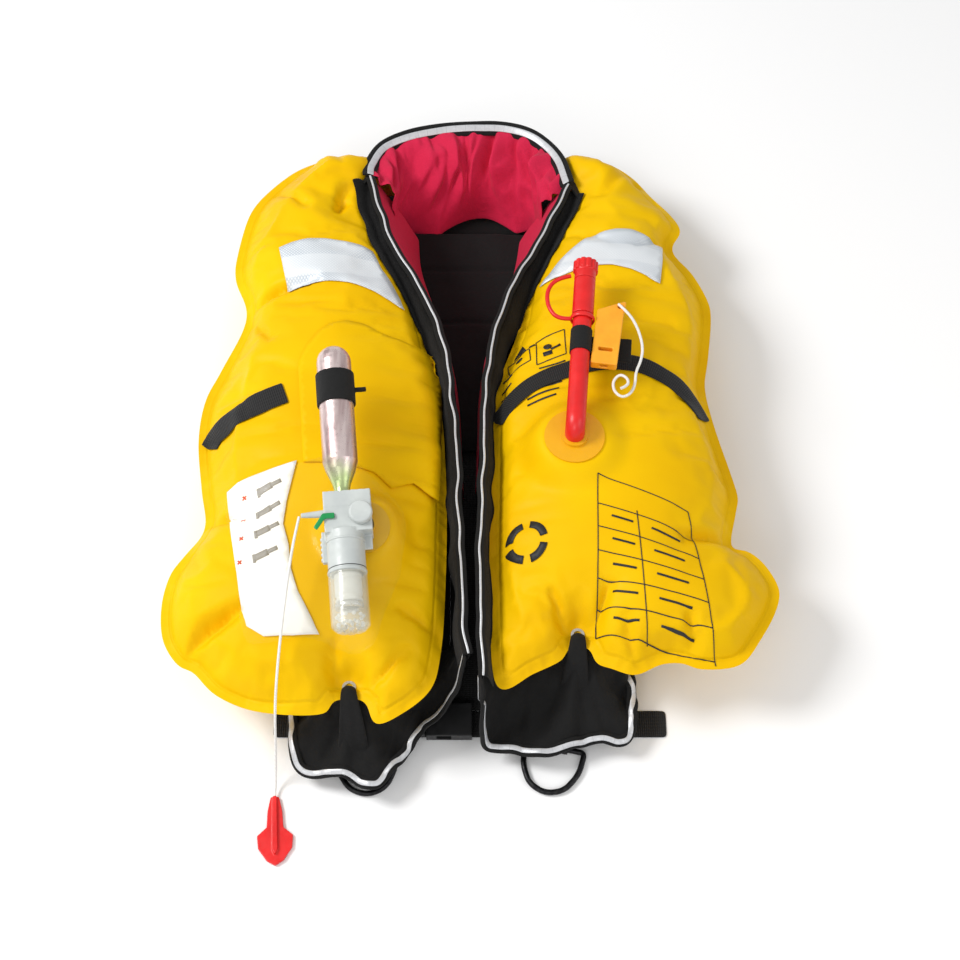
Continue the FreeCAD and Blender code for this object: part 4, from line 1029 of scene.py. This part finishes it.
def edge_rows(top, foot, shares, push=0.0, slack=0.0):
    """Rows of a front edge from its top line to its foot, rippled towards the top.

    Push moves them sideways, and slack lets them hang in towards the middle as they go down."""
    high, low = through(top, EDGE_STEPS) * MM, through(foot, EDGE_STEPS) * MM
    run = np.gradient(high, axis=0)
    side = unit(np.stack([-run[:, 1], run[:, 0], 0 * run[:, 0]], 1))
    rows = []
    for share in shares:
        line = high + (low - high) * share
        sway = np.array([wobble((point[0], point[1], 0.3 * share), 0.026, 4.4)
                         + 0.7 * wobble((point[0], point[1], 0.5 * share), 0.06, 1.1) for point in line])
        line = line + side * (sway[:, None] * EDGE_RIPPLE * (1 - 0.8 * share) + push)
        line[:, 0] *= 1 - slack * share
        rows.append(line)
    return np.array(rows), side


def front_edge(hand, top, foot, skin):
    """One front edge: the black wall, its binding and silver tape, its lining, tape and outer ruffle."""
    inward = 1 if hand == "left" else -1
    high = through(top, EDGE_STEPS)
    upper = int(np.argmax(high[:, 1] < 70))
    lower = int(np.argmax(high[:, 1] < -66))

    def layer(name, shares, columns, push, slack, finish, thickness, stands_for=()):
        rows, _ = edge_rows(top, foot, np.linspace(*shares), inward * push, slack)
        thicken(grid(name, rows[:, columns], finish, stands_for=stands_for), thickness)

    rows, side = edge_rows(top, foot, np.linspace(0, 1, 9))
    wall = grid(f"front_edge_{hand}", rows, "cover_cloth", stands_for=[f"cover_edge_{hand}"])
    thicken(wall, EDGE_CLOTH)
    trim(f"front_trim_{hand}", rows[0] + np.array([0, 0, 0.001]), side, 0.0022, 0.0094,
         [f"piping_{hand}"], 0.0008)
    layer(f"edge_lining_{hand}_cloth", (0.05, 0.88, 10), slice(None, upper), LINING_PUSH, LINING_SLACK,
          "crimson_lining", LINING, [f"edge_lining_{hand}"])
    layer(f"edge_lining_{hand}_lower", (0.46, 0.92, 7), slice(upper - 8, lower), LINING_PUSH, LINING_SLACK,
          "crimson_lining", LINING)
    node = "hook_strip" if hand == "left" else "loop_strip"
    layer(f"{node}_tape", (0.05, 0.42, 4), slice(upper + 4, None), 0.0026, 0, "hook_and_loop", RIP_TAPE,
          [node])
    flap_rows = []
    for share in np.linspace(0, 1, 6):
        row = []
        for index, point in enumerate(rows[0]):
            length = 0.014 + 0.005 * (0.5 + wobble(point, 0.035, 9.1 + inward))
            length -= 0.010 * float(smoothstep(-point[1], -0.19, 0.02))
            out = point - side[index] * inward * (0.003 + share * length)
            height = 0.1 - 0.010 * share - 0.02 * share ** 2
            spot, _, _, _ = skin.ray_cast(Vector((out[0], out[1], ABOVE)), DOWN)
            if spot is not None:
                height = max(height, min(spot.z + 0.0032, 0.118))
            row.append((out[0], out[1], min(height, point[2] + 0.004)))
        flap_rows.append(evened(np.array(row), 8))
    for row in flap_rows:
        row[:, 2] += [0.0012 * wobble(point, 0.016, 3.3) for point in row]
    thicken(grid(f"edge_flap_{hand}", flap_rows, "hook_and_loop"), FLAP)


RIM = [(-107, 287, 106), (-106, 306, 101), (-93, 333, 97), (-66, 350, 95), (-33, 359, 94), (0, 362, 94),
       (33, 362, 94), (60, 354, 95), (79, 338, 97), (95, 312, 101), (104, 276, 106)]
HEM = [(-83, 250, 52), (-78, 268, 26), (-62, 276, 16), (-44, 279, 14), (-22, 288, 14), (0, 294, 14),
       (20, 296, 14), (36, 292, 14), (54, 284, 16), (68, 274, 26), (78, 246, 52)]
BASE = [(-112, 262, 92), (-122, 296, 74), (-121, 334, 40), (-96, 356, 14), (-50, 369, 6), (0, 374, 6),
        (50, 369, 6), (96, 356, 14), (119, 334, 40), (120, 296, 74), (110, 254, 92)]
COLLAR_STEPS = 110


def collar():
    """The collar: black cloth outside, a rumpled crimson lining inside, silver tape on its rim."""
    rim, hem = through(RIM, COLLAR_STEPS) * MM, through(HEM, COLLAR_STEPS) * MM
    base = through(BASE, COLLAR_STEPS) * MM
    inward = rim.mean(0) - rim
    inward[:, 2] = 0
    inward = unit(inward)
    outside = []
    for share in np.linspace(0, 1, 12):
        line = rim + (base - rim) * share - inward * 0.010 * math.sin(math.pi * share)
        sway = np.array([wobble(point, 0.045, 6.0) for point in line])[:, None]
        outside.append(line - inward * sway * 0.003 * math.sin(math.pi * share))
    shell = grid("collar_outside", outside, "cover_cloth", stands_for=["collar_shell"])
    thicken(shell, COLLAR_CLOTH)
    lining = []
    for share in np.linspace(0.0, 1, 26):
        bulge = 0.017 * math.sin(math.pi * share ** 0.9)
        row = []
        for index in range(COLLAR_STEPS):
            around = index / (COLLAR_STEPS - 1)
            point = rim[index] + (hem[index] - rim[index]) * share
            fan = (around - 0.5) * (1 + 0.8 * (1 - share))
            folds = noise.noise((fan * 9.5, share * 1.3, 0.4))
            folds += 0.55 * noise.noise((fan * 21, share * 2.6, 3.2))
            pucker = 1 - abs(noise.noise((fan * 13 + share * 1.7, share * 3.1 - fan * 3, 8.5))) * 2
            depth = 0.0185 * folds + 0.0105 * pucker
            ease = math.sin(math.pi * min(share * 1.1 + 0.02, 1) ** 0.75)
            out = inward[index] * (bulge * 0.55) + Vector((0, 0, bulge * 0.75))
            point = point + out + (inward[index] * 0.6 + Vector((0, 0, 0.6))) * depth * ease
            scallop = 0.015 * (0.5 - abs(math.sin(around * math.pi * 2.6 + 0.35))) * share ** 4
            row.append(point + Vector((0, -scallop, scallop * 0.3)))
        lining.append([tuple(point) for point in row])
    cloth_piece = grid("collar_lining_cloth", lining, "crimson_lining", stands_for=["collar_lining"])
    thicken(cloth_piece, COLLAR_LINING)
    slope = inward + np.array([0, 0, -0.45])
    trim("collar_trim", rim + np.array([0, 0, 0.0015]), slope, 0.0074, 0.0165, ["piping_collar"])


def neck_panel():
    """The black panel inside the neck, with two sewn seams across it."""
    left, right = through(LEFT_FOOT[:6], 90) * MM, through(RIGHT_FOOT[:6], 90) * MM
    rows = []
    for share in np.linspace(0.02, 0.98, 26):
        row = []
        for a, b in zip(left, right):
            point = a + (b - a) * share
            rise = 0.0085 + 0.010 * float(smoothstep(point[1], 0.2, 0.275))
            rise += 0.0022 * wobble(point, 0.03, 5.5)
            for seam in (0.222, 0.166):
                rise -= 0.0028 * math.exp(-((point[1] - seam) / 0.0028) ** 2)
            row.append((point[0], point[1] + (0.012 if point[1] > 0.2 else 0), rise))
        rows.append(row)
    thicken(grid("neck_panel_cloth", rows, "cover_cloth"), NECK_CLOTH)


def tail(hand, back, ridge, hem):
    """A flared tail of the cover: up from the shell to its eyelet and down to its taped hem."""
    steps = 90
    lines = [through(line, steps) * MM for line in (back, ridge, hem)]
    sag = lines[1] * 0.45 + lines[2] * 0.55 + np.array([0, 0, -0.006])
    rise = lines[0] * 0.35 + lines[1] * 0.65 + np.array([0, 0.004, -0.004])
    fixed = [lines[0], rise, lines[1], sag, lines[2]]
    rows = np.array([through([line[column] for line in fixed], 22) for column in range(steps)])
    rows = rows.transpose(1, 0, 2)
    eye = np.array(EYELETS[hand == "right"]) * MM
    for number, row in enumerate(rows):
        share = number / (len(rows) - 1)
        for point in row:
            x, y = point[:2] - eye
            turn, reach = math.atan2(x, -y), math.hypot(x, y)
            gather = wobble((math.sin(turn) * 3.4, math.cos(turn) * 3.4, reach * 6), 0.9, 2.9)
            ripple = 1.7 * gather * float(smoothstep(reach, 0.012, 0.05))
            ripple += 0.8 * wobble(point, 0.017, 6.6) + 0.45 * wobble(point, 0.008, 8.1)
            point[2] += 0.0072 * ripple * float(smoothstep(share, 0.3, 0.7) * (1 - 0.6 * share ** 8))
            point[2] = max(point[2], 0.0045)
    cloth_piece = grid(f"tail_{hand}", rows, "cover_cloth", stands_for=[f"cover_tail_{hand}"])
    thicken(cloth_piece, TAIL_CLOTH)
    hem_line = rows[-1] + np.array([0, 0, 0.0012])
    across = unit(rows[-1] - rows[-4])
    binding, tape = trim(f"tail_trim_{hand}", hem_line, across, 0.0052, 0.0112, sway=0.0014)
    if hand == "right":
        for part in (cloth_piece, tape, binding):
            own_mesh(part)


# The tails: for each its line at the back, its gathered ridge and its hem (mm).
TAIL_LEFT_BACK = [(-4, -222, 50), (-12, -222, 26), (-30, -225, 14), (-50, -228, 10), (-75, -232, 9),
                  (-94, -235, 9), (-113, -235, 9), (-140, -236, 9), (-156, -236, 10), (-162, -238, 11),
                  (-164, -240, 12)]
TAIL_LEFT_RIDGE = [(-3, -246, 86), (-12, -258, 66), (-28, -270, 50), (-52, -282, 46), (-78, -290, 54),
                   (-98, -293, 68), (-113, -295, 75), (-130, -293, 62), (-148, -290, 46),
                   (-161, -284, 36), (-166, -272, 30)]
TAIL_LEFT_HEM = [(-3, -266, 97), (-12, -288, 70), (-30, -303, 42), (-50, -316, 26), (-80, -357, 26),
                 (-94, -367, 26), (-118, -355, 26), (-156, -350, 20), (-167, -329, 22),
                 (-169, -299, 26), (-167, -264, 28)]
TAIL_RIGHT_BACK = [(9, -205, 50), (14, -205, 25), (30, -205, 12), (50, -205, 9), (72, -205, 9),
                   (90, -205, 9), (102, -205, 9), (118, -205, 9), (138, -205, 9), (148, -208, 10),
                   (152, -215, 12)]
TAIL_RIGHT_RIDGE = [(10, -262, 86), (15, -268, 60), (28, -268, 46), (48, -262, 44), (72, -252, 54),
                    (90, -246, 68), (102, -243, 75), (118, -246, 64), (136, -252, 46), (148, -256, 34),
                    (153, -246, 26)]
TAIL_RIGHT_HEM = [(12, -288, 96), (11, -314, 52), (16, -325, 23), (38, -328, 22), (71, -333, 23),
                  (100, -323, 23), (124, -318, 23), (144, -321, 20), (153, -310, 20), (156, -285, 24),
                  (154, -250, 26)]
TAILS = {"left": (TAIL_LEFT_BACK, TAIL_LEFT_RIDGE, TAIL_LEFT_HEM),
         "right": (TAIL_RIGHT_BACK, TAIL_RIGHT_RIDGE, TAIL_RIGHT_HEM)}


def tongues():
    """The two cloth tongues of the cover, pulled up through the eyelets."""
    for hand, (x, y), lean in (("left", EYELETS[0], 3), ("right", EYELETS[1], -2)):
        spine = through([(x + lean, y - 50, 26), (x + lean, y - 36, 50), (x + lean / 2, y - 19, 76),
                         (x, y - 7, 86), (x, y - 1, 86), (x, y + 1, 79)], 26)
        rows = []
        for share in np.linspace(-1, 1, 9):
            row = []
            for index, point in enumerate(spine):
                along = index / (len(spine) - 1)
                half = 12 * (1 - along) ** 0.6 + 3.8
                droop = 6 * share ** 2 * (1 - 0.5 * along)
                droop += 1.6 * math.sin(7 * share + 2 * lean) * (1 - along)
                row.append(((point[0] + share * half) * MM, (point[1] - 2 * share ** 2) * MM,
                            (point[2] - droop + 1.4 * wobble((point[0] + 9 * share, point[1], 0), 9)) * MM))
            rows.append(row)
        names = ["cover_tabs"] if hand == "left" else []
        thicken(grid(f"tongue_{hand}", rows, "cover_cloth", stands_for=names), EDGE_CLOTH)


SHELL = [(-150, -270), (-20, -270), (-20, 60), (-62, 190), (-70, 285), (70, 285), (62, 190), (20, 60),
         (20, -270), (150, -270), (190, -180), (190, 150), (160, 290), (110, 343), (0, 352), (-110, 343),
         (-160, 290), (-190, 150), (-190, -180)]
BACK_YOKE = [(-118, 338), (-118, 250), (-62, 122), (-45, 42), (45, 42), (62, 122), (118, 250), (118, 338)]
FLAT_SPACING = 9.0
BELT_LEVEL = 0.0012


def flat_cloth(name, outline, level, thickness, stands_for):
    """A cloth lying flat at a level, slightly uneven."""
    flat, faces = fill(stepped(outline, FLAT_SPACING), FLAT_SPACING)
    vertices = [(x * MM, y * MM, level + 0.0005 * wobble((x, y, 0), 24, 1.0)) for x, y in flat]
    uv = [(x * MM, y * MM) for x, y in flat]
    thicken(piece(name, vertices, faces, "cover_cloth", uv=uv, stands_for=stands_for), thickness, 0)


def belt(name, ends, width, stands_for):
    """A flat run of webbing between two points on the floor."""
    start, end = (Vector((x * MM, y * MM, BELT_LEVEL)) for x, y in ends)
    side = (end - start).cross(UP).normalized() * width / 2
    rows = []
    for share in np.linspace(-1, 1, 5):
        row = []
        for step in np.linspace(0, 1, 60):
            point = start.lerp(end, step) + side * share
            row.append((point.x, point.y, point.z + 0.0002 * wobble(point, 0.02)))
        rows.append(row)
    thicken(grid(name, rows, "webbing", stands_for=stands_for), BELT_WEB)


def rounded(node, finish, body, voxel=0.0006, passes=5):
    """A moulded or sewn piece: the CAD shape with its edges softened."""
    mesh = nodes[node].data.copy()
    mesh.materials.clear()
    obj = linked(node + "_soft", mesh)
    again = obj.modifiers.new("remesh", "REMESH")
    again.mode = "VOXEL"
    again.voxel_size = voxel
    smooth = obj.modifiers.new("smooth", "SMOOTH")
    smooth.factor = 0.5
    smooth.iterations = passes
    apply_modifiers(obj)
    mesh = obj.data
    layer = mesh.uv_layers.new(name="metres")
    for loop in mesh.loops:
        point = mesh.vertices[loop.vertex_index].co
        layer.data[loop.index].uv = (point.x, point.y)
    shade_smooth(mesh)
    return dressed(obj, finish, body, [node])


# ---------------------------------------------------------------- cords
CORD_ROUTE = [(-158.1, -161.8, 176.5), (-160.6, -176.0, 176.0), (-164.0, -197.0, 172.5),
              (-167.5, -226.0, 164.5), (-171.5, -256.0, 150.0), (-175.5, -286.0, 130.5),
              (-178.5, -309.0, 108.0), (-180.5, -323.0, 82.0), (-182.0, -332.0, 54.0),
              (-183.5, -342.0, 27.0), (-184.5, -354.0, 8.5), (-185.0, -370.0, 3.2),
              (-185.6, -381.0, 3.4)]
LANYARD_ROUTE = [(146.5, 78.5, 172.5), (153.0, 71.0, 173.2), (161.5, 62.0, 168.0), (167.5, 50.0, 161.0),
                 (170.0, 36.0, 157.0), (167.5, 23.0, 154.8), (162.0, 11.0, 154.4), (161.0, -3.0, 154.6),
                 (156.5, -14.0, 155.0), (147.5, -19.5, 155.4), (139.5, -12.0, 155.8), (139.0, -1.0, 156.6),
                 (146.0, 6.0, 158.6), (153.5, 0.0, 160.2), (153.5, -9.5, 161.8), (146.0, -13.5, 163.4)]


def spline(name, points, radius=0.0):
    """A smooth curve steered by given points (mm), with an optional round section."""
    line = bpy.data.curves.new(name, "CURVE")
    line.dimensions = "3D"
    line.bevel_depth = radius
    line.bevel_resolution = 4
    line.use_fill_caps = True
    run = line.splines.new("NURBS")
    run.points.add(len(points) - 1)
    for spot, (x, y, z) in zip(run.points, points):
        spot.co = (x * MM, y * MM, z * MM, 1)
    run.order_u = 3
    run.use_endpoint_u = True
    run.resolution_u = 10
    return linked(name, line)


def traced(name, points, radius):
    """A tube along such a curve as a mesh, and the points that it follows."""
    bare = spline(name + "_line", points)
    graph = bpy.context.evaluated_depsgraph_get()
    line = bpy.data.meshes.new_from_object(bare.evaluated_get(graph))
    path = [tuple(vertex.co) for vertex in line.vertices]
    bare.data.bevel_depth = radius
    bpy.context.view_layer.update()
    graph = bpy.context.evaluated_depsgraph_get()
    tube = bpy.data.meshes.new_from_object(bare.evaluated_get(graph))
    bpy.data.objects.remove(bare)
    bpy.data.meshes.remove(line)
    return linked(name, tube), path


def cords():
    """The firing cord with its handle, and the whistle's lanyard."""
    line = spline("firing_cord", CORD_ROUTE, 0.00125)
    dressed(line, "white_cord", "cord", ["pull_cord"])
    handle = rounded("pull_handle", "red_plastic", "cord", 0.0005, 4)
    tube, path = traced("lanyard", LANYARD_ROUTE, 0.0014)
    dressed(tube, "white_cord", None, ["whistle_lanyard"])
    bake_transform(tube)


# ---------------------------------------------------------------- the hard pieces
KEPT = {
    "eyelets": "eyelet_metal", "d_ring_left": "black_metal", "d_ring_right": "black_metal",
    "co2_cylinder": "zinc_steel", "manifold": "manifold_plastic", "seal_ring": "rubber_seal",
    "lever_pivot_pin": "steel", "pierce_pin": "steel", "firing_spring": "steel",
    "bobbin_cap": "clear_plastic", "oral_tube": "red_plastic",
    "oral_flange": "orange_film", "oral_poppet": "white_plastic", "valve_spring": "steel"}
SOFTENED = {
    "inflator_body": ("grey_plastic", "jacket"), "cap_nut": ("grey_plastic", "jacket"),
    "firing_lever": ("grey_plastic", "lever"), "indicator_clip": ("green_plastic", "clip"),
    "cylinder_band": ("elastic", "jacket"), "oral_sleeve": ("red_plastic", "jacket"),
    "oral_cap": ("red_plastic", "mouth_cap"), "tube_band": ("elastic", "jacket"),
    "whistle": ("orange_plastic", "whistle_body"), "buckle_female": ("black_plastic", "jacket"),
    "buckle_male": ("black_plastic", "buckle_plug"), "belt_adjuster": ("black_plastic", "adjuster"),
    "ring_tab_left": ("webbing", "jacket"), "ring_tab_right": ("webbing", "jacket")}


def hard_pieces():
    """The pieces that keep their CAD shape, and those whose edges are softened."""
    for node, finish in KEPT.items():
        nodes[node].data.materials.clear()
        nodes[node].data.materials.append(MATERIALS[finish])
    for node, (finish, body) in SOFTENED.items():
        rounded(node, finish, body)


# The inflator's place and lean: its axis is Y.
HEAD = (Matrix.Translation(Vector((-118.5, -141.0, 180.0))) @ Matrix.Rotation(math.radians(4.9), 4, "Z")
        @ Matrix.Rotation(math.radians(8), 4, "X"))
TURNS = 64


def about_axis(radius, along, turn, turns):
    """A point about the Y axis, at some part of a full turn."""
    angle = 2 * math.pi * turn / turns
    return Vector((radius * math.cos(angle), along, radius * math.sin(angle)))


def lathe(name, profile, finish, stands_for=()):
    """A turned piece on the inflator's axis: half a section of radius and distance along it (mm)."""
    count = len(profile)
    vertices, faces = [], []
    for turn in range(TURNS):
        vertices += [HEAD @ about_axis(radius, along, turn, TURNS) * MM for radius, along in profile]
        after = (turn + 1) % TURNS
        faces += [(turn * count + step, turn * count + step + 1, after * count + step + 1,
                   after * count + step) for step in range(count - 1)]
    obj = piece(name, vertices, faces, finish, stands_for=stands_for)
    bm = bmesh.new()
    bm.from_mesh(obj.data)
    bmesh.ops.remove_doubles(bm, verts=bm.verts, dist=1e-6)
    bmesh.ops.recalc_face_normals(bm, faces=bm.faces)
    bm.to_mesh(obj.data)
    bm.free()


def ring_section(inner, outer, start, end, corner=0.5):
    """The closed section of a ring with softened corners."""
    return [(inner, start), (outer - corner, start), (outer, start + corner), (outer, end - corner),
            (outer - corner, end), (inner, end), (inner, start)]


# Rings of studs inside the clear cap: radius, distance along the axis, stud radius and how many.
CAP_STUDS = [(12.0, -118.0, 1.9, 10), (11.4, -126.0, 2.1, 10), (5.6, -127.0, 1.8, 5)]


def inflator_details():
    """What the clear cap shows of the firing end, and the steps and seam ring of the moulded head."""
    spool = [(0, -105), (11, -105), (12.6, -104.4), (12.6, -102.6), (11.4, -102), (11.4, -98.4),
             (12.6, -97.8), (12.6, -84), (11.4, -83.4), (11.4, -81.8), (12.8, -81.2), (12.8, -78.6),
             (0, -78.4)]
    lathe("bobbin_spool", spool, "white_plastic", stands_for=["bobbin"])
    lathe("bobbin_ring", ring_section(9, 13.2, -110.5, -106.2), "steel")
    lathe("bobbin_neck", ring_section(6, 10.4, -106.4, -104.8, 0.3), "black_plastic")
    for number, (start, end) in enumerate(((-77.6, -74.8), (-47.6, -45.4))):
        lathe(f"head_step_{number}", ring_section(16.8, 18.3, start, end), "grey_plastic")
    lathe("head_seam", ring_section(16.8, 17.75, -73.6, -72.8, 0.2), "black_plastic")
    studs = bmesh.new()
    for ring, (radius, along, size, count) in enumerate(CAP_STUDS):
        for number in range(count):
            spot = HEAD @ about_axis(radius, along, number + 0.5 * ring, count)
            bmesh.ops.create_icosphere(studs, subdivisions=2, radius=size * MM,
                                       matrix=Matrix.Translation(spot * MM))
    mesh = bpy.data.meshes.new("cap_studs")
    studs.to_mesh(mesh)
    studs.free()
    shade_smooth(mesh)
    dressed(linked("cap_studs", mesh), "white_plastic", "water_cap")


# The mouthpiece tube's place and lean; its axis is Y.
ORAL_TUBE = Matrix.Translation((100.5, -60.0, 168.0)) @ Matrix.Rotation(math.radians(-4.7), 4, "Z")
# The strap's route beside the tube, and the ring's middle radius and its place along the tube.
TETHER_ROUTE = [(-11.2, 124, 0), (-24, 122, 0), (-35, 136, 0), (-37, 156, 0), (-28, 171, 0), (-14.2, 175, 0)]
TETHER_RING = (11.2, 124)
TETHER_TURNS, TETHER_SECTION = 48, 12


def tether():
    """The loop that keeps the mouthpiece cap: a ring round the tube and a bent strap."""
    points = [tuple(ORAL_TUBE @ Vector(point)) for point in TETHER_ROUTE]
    tube, _ = traced("tether_loop", points, 0.0021)
    bm = bmesh.new()
    bm.from_mesh(tube.data)
    middle, along = TETHER_RING
    rings = []
    for turn in range(TETHER_TURNS):
        row = []
        for step in range(TETHER_SECTION):
            around = 2 * math.pi * step / TETHER_SECTION
            radius = middle + 1.2 * math.cos(around)
            level = along + 2.4 * math.sin(around)
            spot = ORAL_TUBE @ about_axis(radius, level, turn, TETHER_TURNS)
            row.append(bm.verts.new(spot * MM))
        rings.append(row)
    for ring, beyond in zip(rings, rings[1:] + rings[:1]):
        for step in range(TETHER_SECTION):
            beside = (step + 1) % TETHER_SECTION
            bm.faces.new((ring[step], ring[beside], beyond[beside], beyond[step]))
    bmesh.ops.recalc_face_normals(bm, faces=bm.faces)
    for face in bm.faces:
        face.smooth = True
    bm.to_mesh(tube.data)
    bm.free()
    dressed(tube, "red_plastic", None, ["cap_tether"])
    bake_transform(tube)


def build():
    """The whole scene."""
    camera()
    studio()
    cords()
    skin_piece = bladder()
    skin = tree_of(skin_piece)
    on_the_lobes(skin)
    for hand, lines in EDGES.items():
        front_edge(hand, *lines, skin)
    collar()
    neck_panel()
    for hand, lines in TAILS.items():
        tail(hand, *lines)
    tongues()
    flat_cloth("cover_lying_open", SHELL, 0.0042, 0.0022, ["cover_shell"])
    flat_cloth("back_yoke", BACK_YOKE, 0.0015, 0.0024, ["back_panel"])
    belt("back_strap_web", ((0, 40), (0, -281)), 0.040, ["back_strap"])
    belt("waist_belt_web", ((-190, -295), (190, -295)), 0.028, ["waist_belt"])
    hard_pieces()
    inflator_details()
    tether()


build()
